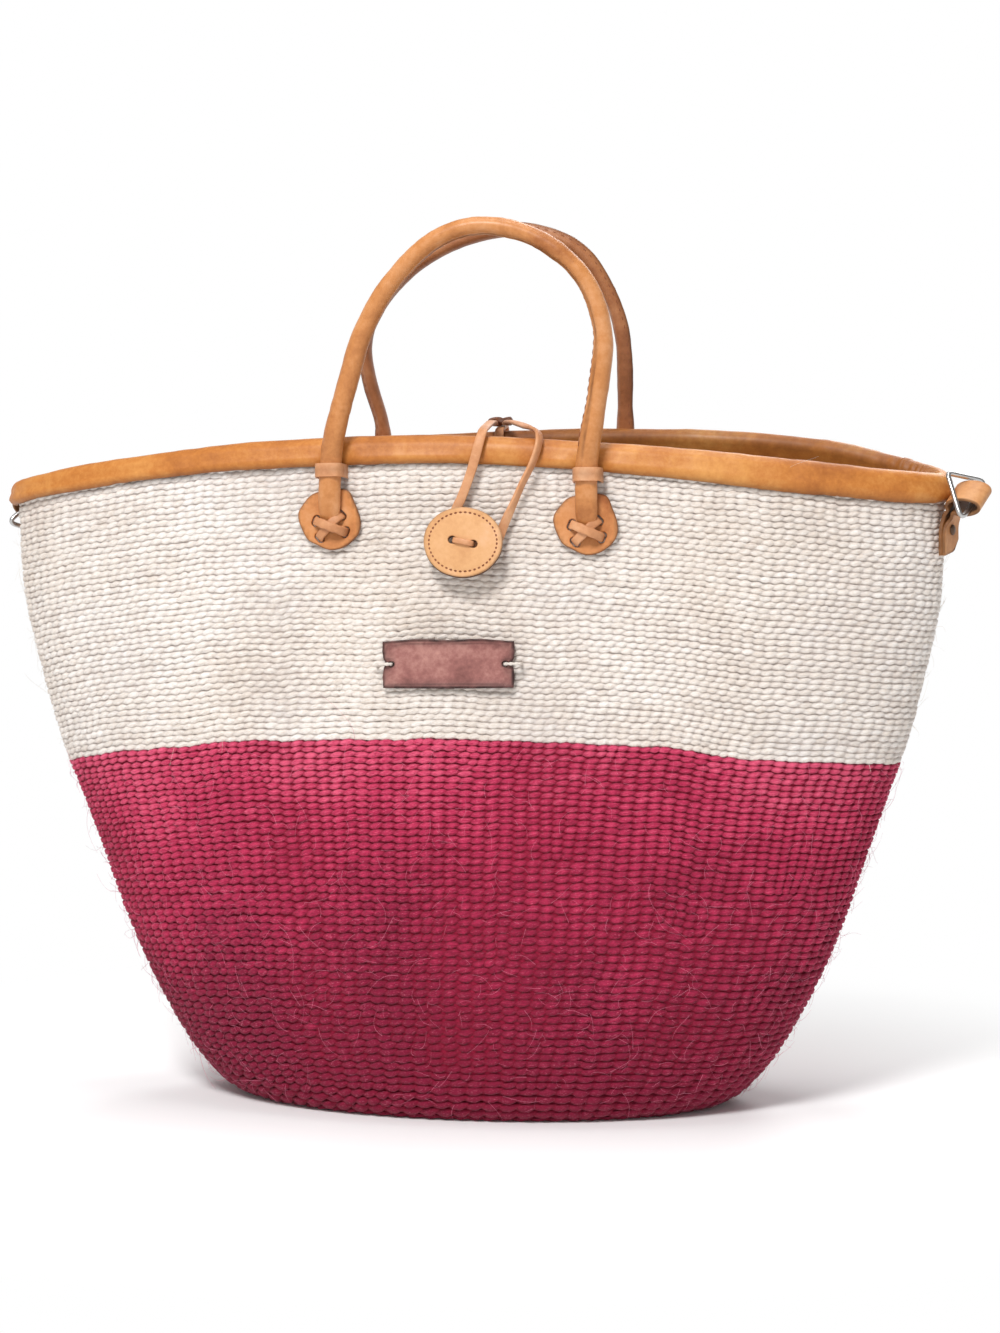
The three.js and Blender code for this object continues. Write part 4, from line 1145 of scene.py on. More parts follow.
def handle_form(handle):
    """The rope's line; then the cover's line from tongue to tongue, with its half widths,
    half thicknesses, seam angles and distances from the nearer end."""
    side = handle["side"]
    tube = tube_line(side, handle["course"])
    run = running_length(tube)
    near = np.minimum(run, run[-1] - run)
    full = smoothstep(near, 0, 11)
    tube = tube + np.array([0, -side * 1.0, 0]) * (1.3 * (1 - full))[:, None]
    (left, left_half), (right, right_half) = (
        tongue_line(foot_seat(side, leg_x), leg_foot(side, leg_x)) for leg_x in leg_places(handle))
    line = np.concatenate([left[:-1], tube[1:-1], right[::-1][1:]])
    tube_half = HANDLE_FOOT_HALF + (HANDLE_RADIUS - 0.1 - HANDLE_FOOT_HALF) * full[1:-1]
    half_out = np.concatenate([left_half[:-1], tube_half, right_half[::-1][1:]])
    total = running_length(line)
    places = np.linspace(0, total[-1], round(total[-1] / 1.5))
    share = places / total[-1]
    from_end = np.minimum(places, total[-1] - places)
    line = eased(line_at(line, total, places), 6, 0.4)
    # the leather narrows over the top of the handle
    rng = np.random.default_rng(21 + side)
    slim = (1 - 0.06 * smoothstep(from_end, 60, 150)) * (
        1 + 0.02 * smooth_noise(rng, len(line), 40) + 0.012 * smooth_noise(rng, len(line), 160))
    half_across = slim * np.interp(share, np.linspace(0, 1, 8), handle["half_widths"])
    thinner = np.interp(share, [0.1, 0.5, 0.9], handle["thinner"]) * smoothstep(from_end, 24, 50)
    half_across = half_across * (1 - thinner) * (1 - 0.3 * (1 - smoothstep(from_end, 0, 9)) ** 2)
    half_out = np.interp(places, total, half_out) * slim
    seam = np.radians(np.interp(share, [0.1, 0.9], handle["seam"]))
    return tube[near > 9], line, half_across, half_out, seam, from_end


def build_cover(place, handle, form):
    """The rolled leather of a handle with the lip of its seam and a painted shadow beside it."""
    _, line, half_across, half_out, seam, from_end = form
    a = full_turn(COVER_SIDES)
    apart = (a[None] - seam[:, None] + math.pi) % (2 * math.pi) - math.pi
    ridge = handle["ridge"] * np.exp(-(apart / 0.26) ** 2)
    groove = 0.13 * np.exp(-((apart - 0.4) / 0.10) ** 2)
    inside = smoothstep(from_end, 26, 44)[:, None]
    grow = 1 + (ridge - groove) * inside
    sections = np.stack([half_across[:, None] * np.cos(a) * grow,
                         half_out[:, None] * np.sin(a) * grow], -1)
    # a shallow channel runs down the face of each tongue
    channel = 0.5 * (1 - smoothstep(from_end, 9, 20)) * smoothstep(from_end, 2, 6)
    sections[..., 1] -= channel[:, None] * np.exp(-((a - math.pi / 2) / 0.42) ** 2)
    reach = handle["shadow"]
    shadow = (np.exp(-((apart - 0.4 + reach) / reach) ** 2) * inside).ravel() * 0.75
    end_dark = np.repeat(1 - smoothstep(from_end, 0, 1.5), COVER_SIDES)
    return solid_object(f"{place}_handle_leather", sweep(line, (0.0, handle["side"], 0.0), sections),
                        handle["leather"], np.maximum(shadow, end_dark), 180)


def tie_slots():
    """The four slots of the crossed laces in a tab and its backer."""
    return [slot_outline(hand * (span + LACE_THICKNESS) / 2, 0, 3.4, LACE_WIDTH + 1.2, tilt)
            for span, tilt, _ in CROSS_TIES.values() for hand in (-1, 1)]


def build_tab(place, tag, side, leg_x):
    """The pear-shaped foot of one leg, bent a little by its laces."""
    outline = closed_curve(TAB_OUTLINE * [TAB_HALF_WIDTH, TAB_REACH])
    points, faces = leather_blank(outline, TAB_THICKNESS, tie_slots(), 0.45,
                                  (np.arange(-14, 15, 2.0), np.arange(-10, 17, 2.0)))
    far = np.linalg.norm(points[:, :2] * [1, 0.95], axis=1) / TAB_HALF_WIDTH
    edge = edge_value(points, outline, 0.9) * 0.8
    low = smoothstep(-points[:, 1], 2, 12)
    points[:, 2] += TAB_GAP + 0.7 * far ** 3 * (0.4 + 0.6 * low) - 0.3 * np.exp(-(far / 0.5) ** 2)
    points[:, 2] += (0.35 * np.sin(points[:, 0] * 0.21 + HANDS[tag])
                     * np.cos(points[:, 1] * 0.16 + 2 * side))
    add_piece(f"{place}_{tag}_tab_leather", (points, faces), TAB_LEATHER, "handle_leather",
              f"{place}_{tag}_tab", seat=foot_seat(side, leg_x), edge=edge)


def build_seam_thread(place, side, form):
    """The stitches along the seam of a handle."""
    _, line, half_across, half_out, seam, from_end = form
    stitched = from_end > SEAM_START
    angle = (seam - 0.36)[stitched]
    middle = line[stitched]
    along = normalised(np.gradient(middle, axis=0))
    across = normalised(np.cross(along, (0.0, side, 0.0)))
    out = np.cross(across, along)
    seam_line = (middle + across * (half_across[stitched] * np.cos(angle) * 1.01)[:, None]
                 + out * (half_out[stitched] * np.sin(angle) * 1.01)[:, None])
    add_piece(f"{place}_handle_thread", stitches_along(seam_line, 4.2, 2.6, 0.36), THREAD,
              "handle_leather", body=f"{place}_handle")


def build_handle(place, handle):
    """A handle's cover, its two tabs, the thread of its seam and the rope inside."""
    side = handle["side"]
    form = handle_form(handle)
    cover = build_cover(place, handle, form)
    for tag, leg_x in zip(HANDS, leg_places(handle)):
        build_tab(place, tag, side, leg_x)
    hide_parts(f"{place}_handle_cover")
    foot = handle_foot(side) * MM
    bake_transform(cover)
    build_seam_thread(place, side, form)
    rope_line = form[0]
    sections = rope_sections(np.arange(len(rope_line)) * 0.35, 12, 2.3, 0.4, 3)
    add_piece(f"{place}_handle_cord", sweep(rope_line, (0, 1, 0), sections), NATURAL,
              "natural_sisal", f"{place}_handle_rope", body=f"{place}_handle", angle=180)


def build_disc(seat, node, ring, holes, cuts):
    """A leather disc inside the wall, under the laces."""
    points, faces = leather_blank(ring, BACKER_THICKNESS, holes, 0.35, (cuts, cuts))
    edge = edge_value(points, ring, 0.8) * 0.8
    points[:, 2] += INSIDE_BACKER
    add_piece(f"{node}_leather", (points, faces), TAB_LEATHER, "handle_leather", node,
              seat=seat, edge=edge)


def build_tie(seat, name, kind):
    """One of the two crossed laces of a tab."""
    span, tilt, rise = CROSS_TIES[kind]
    low = INSIDE_BACKER - CLEARANCE - rise - LACE_THICKNESS / 2
    high = TAB_TOP + CLEARANCE + LACE_THICKNESS / 2
    line = rounded_loop((span + LACE_THICKNESS) / 2, low, high, 1.6, arch=rise + 2.0)
    twist = 1 + 0.05 * np.sin(np.arange(len(line)))
    section = rounded_section(LACE_WIDTH, LACE_THICKNESS, 0.8, 4)[None] * twist[:, None, None]
    add_piece(f"{name}_lace_{kind}", lace_loop(line, section, tilt), LACE_LEATHER,
              "lace_leather", f"{name}_tie_{kind}", seat=seat)


def build_keeper(side, leg_x, name):
    """The band that closes round a tongue and its leg, ridged on its inner side."""
    seat = wall_seat(wall_angle(leg_x, KEEPER_DEPTH, side), KEEPER_DEPTH)
    half_span = (2 * HANDLE_RADIUS + 4 * CLEARANCE + 1.1) / 2
    outer = to_local(seat, leg_foot(side, leg_x))[2] - HANDLE_RADIUS + 7.8 + CLEARANCE
    line = rounded_loop(half_span, INSIDE_WALL, outer + 0.3, 2.9, spacing=0.6)
    shoulder = line[:, 1] > outer - 4.2
    line[:, 0] *= 1 - 0.10 * smoothstep(line[:, 1], 2.0, outer) ** 2 * shoulder
    steps = np.linspace(-KEEPER_HALF_WIDTH, KEEPER_HALF_WIDTH, 17)
    ridges = 1.2 * np.abs(np.sin(math.pi * (steps + KEEPER_HALF_WIDTH) / KEEPER_HALF_WIDTH)) ** 0.75
    top = np.stack([steps, 0.2 + ridges], -1)[::-1]
    under = np.stack([steps[[0, 8, 16]], [-0.5] * 3], -1)
    section = np.concatenate([top, under])
    # painted shade in the groove between the two ridges
    valley_shade = np.exp(-(section[:, 0] / 0.5) ** 2) * 0.3
    add_piece(f"{name}_keeper_lace", lace_loop(line, section), LACE_LEATHER, "lace_leather",
              f"{name}_keeper", seat=seat, edge=np.tile(valley_shade, len(line)), angle=60)


def build_foot_fittings(side, leg_x, name):
    """What holds one leg: its laces, the backer inside the wall and the keeper."""
    seat = foot_seat(side, leg_x)
    for kind in CROSS_TIES:
        build_tie(seat, name, kind)
    ring = ellipse_section(BACKER_RADIUS, BACKER_RADIUS, 40)
    ring = ring * (1 + 0.02 * np.sin(np.arange(40))[:, None])
    build_disc(seat, f"{name}_backer", ring, tie_slots(), np.arange(-10, 11, 4.0))
    build_keeper(side, leg_x, name)


# Button

BUTTON_HALF_WIDTH = 18.2
BUTTON_HALF_HEIGHT = 16.0
BUTTON_LAYER = 2.0
BUTTON_STAND_OFF = 6.4
BUTTON_TOP = BUTTON_STAND_OFF + 2 * BUTTON_LAYER + CLEARANCE
BUTTON_TILT = -11.6
BUTTON_HOLE_PLACE = 5.3
BUTTON_STITCHES = 44
STITCH_INSET = 2.5
WASHER_RADIUS = 9.5


def build_button_layer(seat, outline, holes, front):
    """One leather layer of the button; the one in front has a pressed channel."""
    name, node, material, slot = (
        ("button_leather", "button_front", BUTTON_LEATHER, "lace_leather") if front else
        ("button_under_leather", "button_back", DARK_LEATHER, "handle_leather"))
    points, faces = leather_blank(outline, BUTTON_LAYER, holes, 0.5,
                                  (np.arange(-18, 19, 2.0), np.arange(-16, 17, 2.0)))
    edge = edge_value(points, outline, 0.8) * 0.5
    edge = np.maximum(edge, 0.8 * (1 - smoothstep(hole_distance(points, holes), 1.7, 2.1)))
    if front:
        far = np.linalg.norm(points[:, :2] / [BUTTON_HALF_WIDTH, BUTTON_HALF_HEIGHT], axis=1)
        channel = np.exp(-((edge_distance(points, outline) - STITCH_INSET) / 0.5) ** 2)
        points[:, 2] -= 0.2 * channel * (points[:, 2] > BUTTON_LAYER / 2)
        points[:, 2] += 0.35 * (1 - far ** 2) * (points[:, 2] > BUTTON_LAYER / 2)
        points[:, 2] += BUTTON_STAND_OFF + BUTTON_LAYER + CLEARANCE
    else:
        points += [-0.25, -0.35, BUTTON_STAND_OFF]
    add_piece(name, (points, faces), material, slot, node, seat=seat, edge=edge)


def build_button_stitches(seat):
    """The stitches round the edge of the button, which sink in at their ends."""
    across = np.linspace(-1, 1, 5)
    ends = np.sin(math.pi * np.linspace(0.2, 0.8, 5))[:, None, None]
    spread = 0.27 * 2 * math.pi / BUTTON_STITCHES
    parts = []
    for k in range(BUTTON_STITCHES):
        a = 2 * math.pi * (k + 0.5) / BUTTON_STITCHES + spread * across
        stitch = np.stack([(BUTTON_HALF_WIDTH - STITCH_INSET) * np.cos(a),
                           (BUTTON_HALF_HEIGHT - STITCH_INSET) * np.sin(a),
                           BUTTON_TOP + 0.10 - 0.28 * across ** 2], -1)
        parts.append(sweep(stitch, (0, 0, 1), ellipse_section(0.42, 0.34, 6)[None] * ends))
    add_piece("button_thread", joined(parts), THREAD, "lace_leather", seat=seat)


def build_button():
    """Two leather layers, their stitches, the lace and the washer inside the wall."""
    seat = wall_seat(wall_angle(3.0, 49.0, -1), 49.0)
    rng = np.random.default_rng(8)
    a = full_turn(72)
    wobble = 1 + 0.006 * np.sin(3 * a + 1) + 0.004 * smooth_noise(rng, 72, 20)
    outline = ellipse_section(BUTTON_HALF_WIDTH, BUTTON_HALF_HEIGHT, 72) * wobble[:, None]
    holes = [slot_outline(hand * (BUTTON_HOLE_PLACE - 0.3), 0, 3.9, 3.4, BUTTON_TILT)
             for hand in (-1, 1)]
    build_button_layer(seat, outline, holes, False)
    build_button_layer(seat, outline, holes, True)
    build_button_stitches(seat)
    low = INSIDE_BACKER - CLEARANCE - LACE_THICKNESS / 2
    high = BUTTON_TOP + CLEARANCE + LACE_THICKNESS / 2 - 0.3
    line = rounded_loop(BUTTON_HOLE_PLACE - 1.0, low, high, 1.5, arch=0.5)
    section = rounded_section(2.6, 1.5, 1.5 * 0.35)
    add_piece("button_lace_leather", lace_loop(line, section, BUTTON_TILT), LACE_LEATHER,
              "lace_leather", "button_lace", seat=seat)
    ring = ellipse_section(WASHER_RADIUS, WASHER_RADIUS, 36)
    build_disc(seat, "button_washer", ring, holes, np.arange(-8, 9, 4.0))


# Closure loop

THONG_WIDTH = 4.3
THONG_THICKNESS = 1.8


def outward_from_mouth(points):
    """Upwards over the rim and forwards in front of the wall."""
    below = np.clip((RIM_HEIGHT - points[:, 2]) / 4.4 + 1, 0, 1)
    forward = np.where(points[:, 1] < 0, -below, 0)
    return normalised(np.stack([0 * below, forward, 1 - below], -1))


def build_thong():
    """The limp thong from the knot round the button and back."""
    line = evenly(curve_through(np.array(CLOSURE_ROUTE) * 1000), 1.4)
    facing = eased(outward_from_mouth(line), 8, 0.5)
    # its right strand stands on edge
    along = normalised(np.gradient(line, axis=0))
    hanging = smoothstep(line[:, 0], 17, 25) * smoothstep(-line[:, 1], 30, 50)
    turn = (math.radians(62) * hanging)[:, None]
    facing = facing * np.cos(turn) + np.cross(along, facing) * np.sin(turn)
    width = THONG_WIDTH + 0.12 * np.sin(np.arange(len(line)) * 0.35)
    section = rounded_section(1, THONG_THICKNESS, 0.45, 4)
    section = section[None] * np.stack([width, np.ones(len(line))], -1)[:, None]
    shape = sweep(line + np.outer(hanging, [1.2, -0.3, 0]), facing, section)
    thong = add_piece("closure_thong_leather", shape, LACE_LEATHER, "lace_leather", "closure_thong")


def build_closure_knot():
    """The lace through the back rim and the knot on it."""
    seat = wall_seat(wall_angle(1.5, CORE_DEPTH, 1), CORE_DEPTH)
    room = 0.8
    reach = BINDING_HEIGHT - CORE_DEPTH + room + 1.0
    rise = CORE_DEPTH + room + 1.0
    across = CORE_RADIUS + BINDING_SKIN + 2 * room + 1.0
    loop = rounded_loop(rise, -across, across, 3.0)
    middle, size = (rise - reach) / 2, (rise + reach) / 2
    line = np.stack([0 * loop[:, 0], middle + loop[:, 0] / rise * size, WALL_MIDDLE + loop[:, 1]], -1)
    outward = normalised(line - np.array([0, middle, WALL_MIDDLE]))
    anchor = sweep(line, outward, rounded_section(THONG_WIDTH, THONG_THICKNESS, 0.5), closed=True)
    add_piece("closure_anchor_leather", anchor, LACE_LEATHER, "lace_leather", "closure_anchor", seat=seat)
    # an overhand knot, drawn tight
    t = np.linspace(0, 2 * math.pi, 90, endpoint=False)
    knot = np.stack([(2.1 + 1.25 * np.cos(3 * t)) * np.cos(2 * t),
                     1.1 * np.sin(3 * t), (2.1 + 1.25 * np.cos(3 * t)) * np.sin(2 * t) * 0.8], -1)
    knot *= [1.75, 0.85, 1]
    knot[:, 1] += rise + 1.0 + CLEARANCE + 2.0
    knot[:, 2] += WALL_MIDDLE
    facing = normalised(knot - knot.mean(0)) + [0, 0.4, 0]
    add_piece("closure_knot_leather", sweep(knot, facing, rounded_section(2.4, 1.5, 0.5), closed=True),
              DARK_LEATHER, "handle_leather", "closure_knot", seat=seat)


# Patch

PATCH_HALF_WIDTH = 30.5
PATCH_HALF_HEIGHT = 11.25
PATCH_THICKNESS = 2.0
PATCH_HOLE_PLACE = 26.5


def patch_outline():
    """A rectangle with wavy long sides and a nick in each short one."""
    half, height = PATCH_HALF_WIDTH, PATCH_HALF_HEIGHT
    x = np.linspace(-1, 1, 25)
    top = np.stack([x * half, height - 0.7 * x ** 4 - 0.25 * np.cos(x * 7)], -1)
    low = np.stack([x[::-1] * (half - 0.3), -height + 0.35 * x ** 2], -1)
    side = np.array([
        [half + 0.3, 6], [half - 0.3, 2.2], [half - 1.5, 0.3], [half - 0.4, -1.6], [half + 0.2, -6]])
    outline = np.concatenate([side[::-1] * [-1, 1], top, side, low])
    return outline[np.argsort(-np.arctan2(outline[:, 1] / height, outline[:, 0] / half))]


def build_patch():
    """The bare leather patch, dark along its edges and round its holes, and its yarn."""
    seat = wall_seat(wall_angle(-4.0, 104.0, -1), 104.0)
    outline = patch_outline()
    holes = [np.array([hand * PATCH_HOLE_PLACE, 0.0]) + ellipse_section(1.5, 1.15, 14)
             for hand in (-1, 1)]
    cuts = (np.concatenate([np.arange(-28, 29, 4.0), [-29.8, -29, 29, 29.8]]),
            [-10.6, -9.9, -9.2, -8.5, -6, -3, 0, 3, 6, 8.6, 9.3, 10.0])
    points, faces = leather_blank(outline, PATCH_THICKNESS, holes, 0.45, cuts)
    away = edge_distance(points, outline)
    edge = 1 - 0.7 * smoothstep(away, 0.7, 1.6) - 0.3 * smoothstep(away, 1.6, 5.0)
    edge = np.maximum(edge, 0.7 * np.exp(-((away - 2.0) / 0.45) ** 2))
    edge = np.maximum(edge, 0.9 * (1 - smoothstep(hole_distance(points, holes), 1.3, 2.4)))
    bow = (points[:, 0] / PATCH_HALF_WIDTH) ** 2
    points[:, 2] += TAB_GAP - 0.35 * bow + 0.5 * smoothstep(np.abs(points[:, 1]), 7, 11)
    points[:, 2] += 0.2 * np.sin(points[:, 0] * 0.22) * np.cos(points[:, 1] * 0.2)
    add_piece("patch_leather", (points, faces), PATCH_LEATHER, "patch_leather", "patch",
              seat=seat, edge=edge)
    for tag, hand in HANDS.items():
        build_patch_yarn(seat, tag, hand)


def build_patch_yarn(seat, tag, hand):
    """A yarn stitch over one end of the patch, from its hole to beyond its edge."""
    past_edge, inside_edge = 3.0, 4.0
    middle = PATCH_HALF_WIDTH + (past_edge - inside_edge) / 2
    high = TAB_GAP + PATCH_THICKNESS + CLEARANCE + 0.8
    line = rounded_loop((past_edge + inside_edge) / 2, INSIDE_WALL - 1.8, high, 1.2, spacing=0.35)
    loop, out = upright_loop(line, hand * middle)
    sections = rope_sections(full_turn(len(line)) * 7, 14, 0.66, 0.16, 2)
    add_piece(f"patch_yarn_{tag}", sweep(loop, out, sections, closed=True), YARN,
              "natural_sisal", f"patch_stitch_{tag}", seat=seat, angle=180)


# End straps and wire triangles

STRAP_DEPTH = 13.0
STRAP_HALF_WIDTH = 8.0
STRAP_REACH = 25.0
STRAP_HALF_THICKNESS = 0.82
# how far down the strap's slanted end reaches from its left edge to its right edge
STRAP_END = np.array([[-1, -1], [0.3, -0.94], [1, -0.7]]) * [STRAP_HALF_WIDTH, STRAP_REACH]
ROLL_MIDDLE = 3.4 + 9.0
PIVOT_DROP = 2.7 * math.sqrt(1 - (2.5 / 7.2) ** 2) - 0.6 - 1.2
RIVET_DROP = 13.5
TRIANGLE_HALF_WIDTH = 16.5
TRIANGLE_HEIGHT = 18.0
WIRE_RADIUS = 1.2


def strap_profile():
    """Out and up of the middle of one leather layer, from its inner end round to its outer end;
    the third value is how far the roll's tilt acts, the fourth how far the end's slant acts."""
    roll = []
    for degree in np.linspace(205, -135, 40):
        a = math.radians(degree)
        roll.append([ROLL_MIDDLE + 8.3 * math.cos(a), PIVOT_DROP + 0.5 + 4.3 * math.sin(a), 1.0, 0.0])
    flat = [[-25.0, 0, 1], [-20.0, 0, 0.8], [-16.0, 0, 0.4], [-12.0, 0.1, 0.1]]
    inner = [[1.25, *rest] for rest in flat] + [[1.4, -8.0, 0.4, 0], [2.6, -3.5, 0.8, 0]]
    outer = [[5.6, -5.2, 0.9, 0], [3.6, -8.6, 0.5, 0]] + [[3.05, *rest] for rest in flat[::-1]]
    line = np.array(inner + roll + outer)
    run = running_length(line[:, :2])
    return eased(line_at(line, run, np.linspace(0, run[-1], 110)), 3, 0.5)


def build_strap(place, seat, tilt):
    """The leather strap: two layers down the wall and a tilted roll above."""
    profile = strap_profile()
    count = len(profile)
    along = normalised(np.gradient(profile[:, :2], axis=0))
    normal = np.stack([-along[:, 1], along[:, 0]], -1)
    section = rounded_section(15.8, 2 * STRAP_HALF_THICKNESS, 0.5, 3)
    extra = np.linspace(-7, 7, 8)
    section = np.concatenate([
        section[:3], np.stack([extra[::-1], np.full(8, STRAP_HALF_THICKNESS)], -1),
        section[3:9], np.stack([extra, np.full(8, -STRAP_HALF_THICKNESS)], -1), section[9:]])
    sides = len(section)
    x = np.broadcast_to(section[:, 0], (count, sides))
    out = profile[:, None, 0] + normal[:, None, 0] * section[:, 1]
    up = profile[:, None, 1] + normal[:, None, 1] * section[:, 1]
    low = np.interp(x * math.copysign(1, tilt), STRAP_END[:, 0], STRAP_END[:, 1])
    up = up + profile[:, None, 3] * (low + STRAP_REACH)
    act = profile[:, None, 2]
    lean = np.radians(tilt * act)
    local = np.stack([x * np.cos(lean) - up * np.sin(lean),
                      x * np.sin(lean) + up * np.cos(lean), out], -1)
    from_end = np.minimum(np.arange(count), np.arange(count)[::-1])
    edge = np.maximum(smoothstep(np.abs(x), 7.3, 7.9), (1 - smoothstep(from_end, 0, 1.5))[:, None]) * 0.8
    # painted shade on the inner faces of the roll
    edge = np.maximum(edge, (section[:, 1] < 0)[None] * (act > 0.6) * 0.8)
    add_piece(f"{place}_strap_leather", (local.reshape(-1, 3), solid_faces(count, sides)),
              STRAP_LEATHER, "handle_leather", f"{place}_strap", seat=seat, edge=edge.ravel())


def build_triangle(place, seat, tilt, ring_turn, corner_radius=2.6):
    """The bent wire triangle that hangs in the roll."""
    corners = np.array([[-TRIANGLE_HALF_WIDTH, 0], [TRIANGLE_HALF_WIDTH, 0], [0, TRIANGLE_HEIGHT]])
    points = []
    for i, corner in enumerate(corners):
        before = normalised(corners[i - 1] - corner)
        after = normalised(corners[(i + 1) % 3] - corner)
        half_angle = math.acos(float(before @ after)) / 2
        start = corner + before * corner_radius / math.tan(half_angle)
        end = corner + after * corner_radius / math.tan(half_angle)
        for t in np.linspace(0, 1, 9):
            points.append((1 - t) ** 2 * start + 2 * t * (1 - t) * corner + t ** 2 * end)
    line = evenly(np.array(points), 0.9, closed=True)
    line = np.concatenate([line, np.zeros((len(line), 1))], 1)
    points, faces = sweep(line, (0, 0, 1), ellipse_section(WIRE_RADIUS, WIRE_RADIUS, 16), closed=True)
    points = turned(turned(points, ring_turn, axis=0), tilt) + [0, 0, ROLL_MIDDLE + 2.5]
    add_piece(f"{place}_wire_triangle", (points, faces), WIRE, "steel_wire", f"{place}_ring",
              body=f"{place}_triangle", seat=seat, angle=180)


def build_rivet(place, seat, sides=24):
    """Two domed heads on a stem through the strap and the wall."""
    inner, outer = -WALL - 1.8, 3.6 + 2 * CLEARANCE
    profile = [
        [0.01, inner - 1.0], [1.3, inner - 0.9], [2.2, inner - 0.45], [2.5, inner], [1.2, inner],
        [1.2, outer], [2.5, outer], [2.4, outer + 0.35], [1.6, outer + 0.85], [0.01, outer + 1.0]]
    a = full_turn(sides)
    rings = [np.stack([r * np.cos(a), r * np.sin(a), np.full(sides, z)], -1) for r, z in profile]
    points = np.concatenate(rings) - [0, RIVET_DROP, 0]
    add_piece(f"{place}_rivet_heads", (points, solid_faces(len(profile), sides)), RIVET_METAL,
              "steel_wire", f"{place}_rivet", seat=seat, angle=35)


def build_end(place, angle_degrees, tilt, ring_turn):
    """The strap, the wire triangle and the rivet at one end of the mouth."""
    seat = wall_seat(math.radians(angle_degrees), STRAP_DEPTH)
    build_strap(place, seat, tilt)
    build_triangle(place, seat, tilt, ring_turn)
    build_rivet(place, seat)


# Loose fibres

def build_hairs(name, material, slot, low, high, count, seed):
    """Fine fibres that stand away from the wall between two height shares."""
    rng = np.random.default_rng(seed)
    step = 2 * FINE_STEP
    parts = []
    for _ in range(count):
        share = rng.uniform(low, high)
        angle = rng.uniform(0, 2 * math.pi)
        root = body_point(share, angle, -0.3)
        up = normalised(body_point(share + step, angle) - body_point(share - step, angle))
        side = normalised(body_point(share, angle + step) - body_point(share, angle - step))
        out = np.cross(side, up)
        heading = rng.uniform(0, 2 * math.pi)
        run = math.cos(heading) * side + math.sin(heading) * up
        length = rng.gamma(2.2, 2.6) + 2.0
        lift = rng.uniform(0.1, 0.55)
        t = np.linspace(0, 1, 7)[:, None]
        curl = rng.normal(0, 0.35, 2)
        line = (root + run * length * t * (1 - 0.15 * t)
                + out * (0.8 * t ** 0.5 + lift * length * t * (1 - 0.6 * t))
                + np.cross(out, run) * length * (curl[0] * t ** 2 + curl[1] * t ** 3))
        line[:, 2] = np.maximum(line[:, 2], 0.4)
        radius = rng.uniform(0.06, 0.1) * (1 - 0.6 * t)[..., None]
        parts.append(sweep(line, out, ellipse_section(1, 1, 3)[None] * radius))
    fitted(mesh_object(name, *joined(parts), material), "basket", slot)


# Everything in its place

build_thong()
build_weave()
build_binding()
build_rim_rope()
for place, handle in HANDLES.items():
    build_handle(place, handle)
    for tag, leg_x in zip(HANDS, leg_places(handle)):
        build_foot_fittings(handle["side"], leg_x, f"{place}_{tag}")
build_button()
build_closure_knot()
build_patch()
build_end("right", -5, 30.0, -33.0)
build_end("left", 164, -30.0, 181.0)
build_hairs("magenta_fibres", HAIR_MAGENTA, "magenta_sisal", 0.02, COLOUR_CHANGE, 1900, 5)
build_hairs("natural_fibres", HAIR_NATURAL, "natural_sisal", COLOUR_CHANGE, 0.95, 700, 6)

# Studio

FLOOR_DROP = 0.0003
FLOOR_HALF_SIZE = 6000
# each light's place and size in metres and its power in watts
LIGHTS = {
    "key": ((-0.35, -1.8, 2.2), 0.7, 61),
    "back": ((0.5, 2.0, 1.8), 1.2, 22),
    "top": ((0.1, 0.1, 2.3), 0.9, 17)}


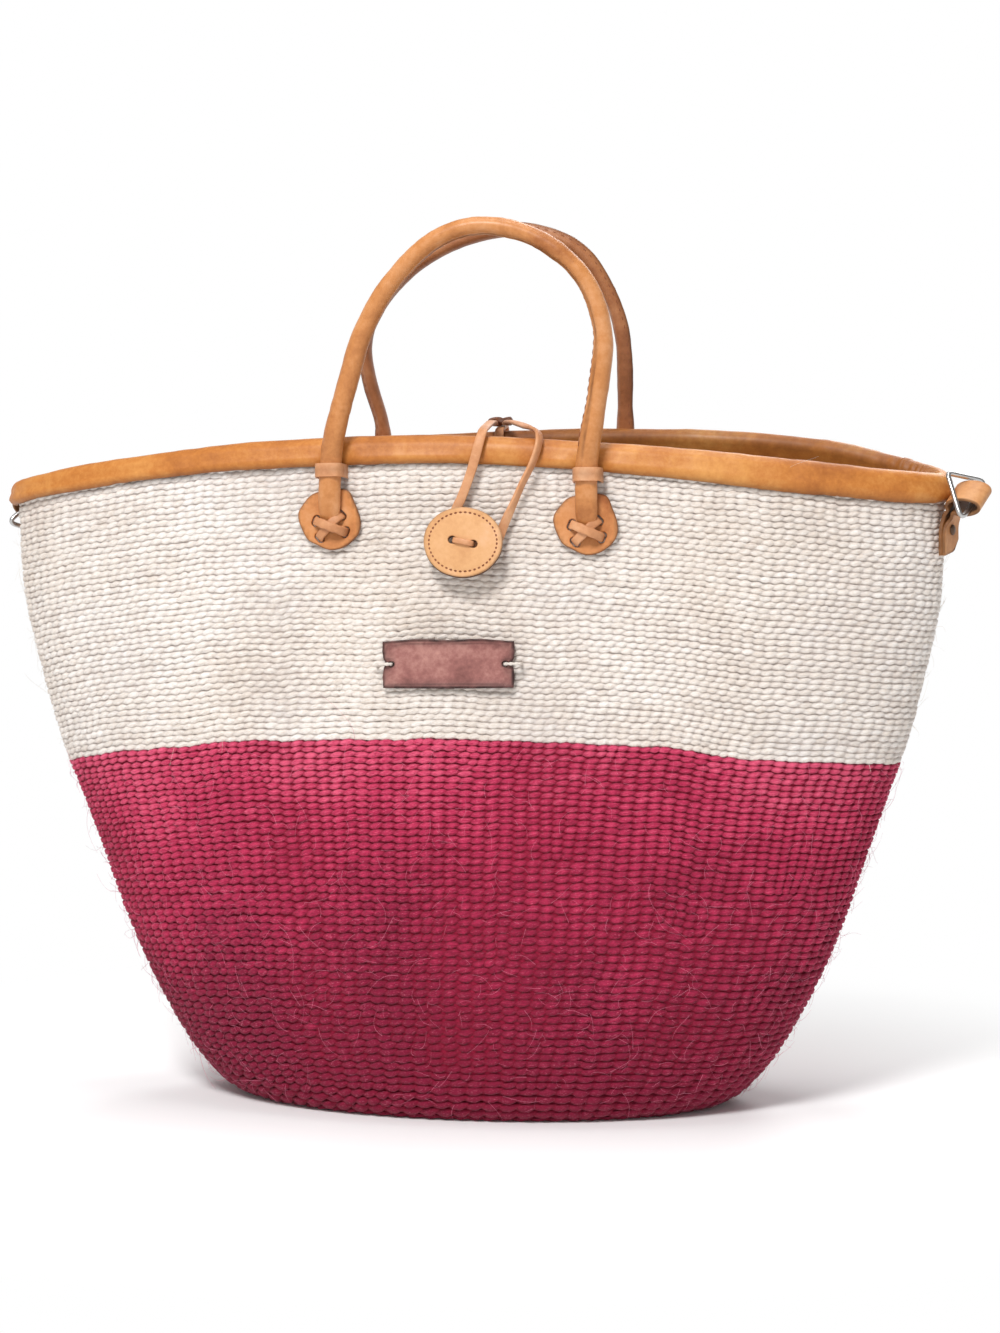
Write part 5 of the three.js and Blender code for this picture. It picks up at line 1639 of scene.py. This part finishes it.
def build_floor():
    """A white floor that glows away from the basket."""
    material, tree, shader = new_material("studio_floor")
    g = Graph(tree)
    cloud = g.ramp(g.noise(g.place(), 3.0), [(0.3, (0.9, 0.9, 0.9)), (0.7, (0.92, 0.92, 0.92))])
    g.set(shader.inputs["Base Color"], cloud)
    shader.inputs["Roughness"].default_value = 0.9
    shader.inputs["Specular IOR Level"].default_value = 0.1
    away = g.node("ShaderNodeVectorMath", {0: g.place()}, operation="LENGTH").outputs["Value"]
    glow = g.node("ShaderNodeEmission", {"Color": (1, 1, 1, 1), "Strength": 1.0})
    share = g.node("ShaderNodeMapRange", {"Value": away, "From Min": 0.16, "From Max": 0.4},
                   interpolation_type="SMOOTHSTEP")
    mixed = g.node("ShaderNodeMixShader", {
        0: share.outputs[0], 1: shader.outputs[0], 2: glow.outputs[0]})
    tree.links.new(mixed.outputs[0], tree.nodes["Material Output"].inputs["Surface"])
    size = FLOOR_HALF_SIZE
    floor = mesh_object("studio_floor", [
        (-size, -size, 0), (size, -size, 0), (size, size, 0), (-size, size, 0)],
        [(0, 1, 2, 3)], material, smooth=False)
    floor.location.z = -FLOOR_DROP


def build_world():
    """Grey surroundings, bright before, behind and low down."""
    world = bpy.data.worlds.new("studio")
    bpy.context.scene.world = world
    world.use_nodes = True
    g = Graph(world.node_tree)
    direction = g.node("ShaderNodeTexCoord").outputs["Generated"]
    apart = g.node("ShaderNodeSeparateXYZ", {"Vector": direction}).outputs
    around = g.span(apart["X"], -0.8, 0.8, 0.33, 0.22)
    behind = g.span(g.math("ABSOLUTE", apart["Y"]), 0.78, 0.88)
    low = g.span(g.math("ABSOLUTE", apart["Z"]), 0.16, 0.28, 1.0, 0.0)
    background = world.node_tree.nodes["Background"].inputs
    g.set(background["Color"], (1, 1, 1, 1))
    g.set(background["Strength"], g.math("MAXIMUM", g.math("MAXIMUM", around, behind), low))


def build_lights():
    """Three area lights that point at the basket."""
    for name, (place, size, power) in LIGHTS.items():
        data = bpy.data.lights.new(name, "AREA")
        data.size, data.energy = size, power
        lamp = link(bpy.data.objects.new(name, data))
        lamp.location = place
        lamp.rotation_euler = (AIM - Vector(place)).to_track_quat("-Z", "Y").to_euler()


build_floor()
build_world()
build_lights()
bpy.context.scene.view_settings.view_transform = "Standard"

# Finish

CAD_MATERIALS = {
    "natural_sisal": NATURAL, "magenta_sisal": MAGENTA, "rim_leather": RIM_LEATHER,
    "handle_leather": HANDLE_LEATHER, "lace_leather": LACE_LEATHER,
    "patch_leather": PATCH_LEATHER, "steel_wire": WIRE}
SLOTS = {entry["node"]: entry["material_slot"] for entry in frame["record"]["subparts"]}
for name, obj in frame["nodes"].items():
    for slot in obj.material_slots:
        slot.material = CAD_MATERIALS[SLOTS[name]]
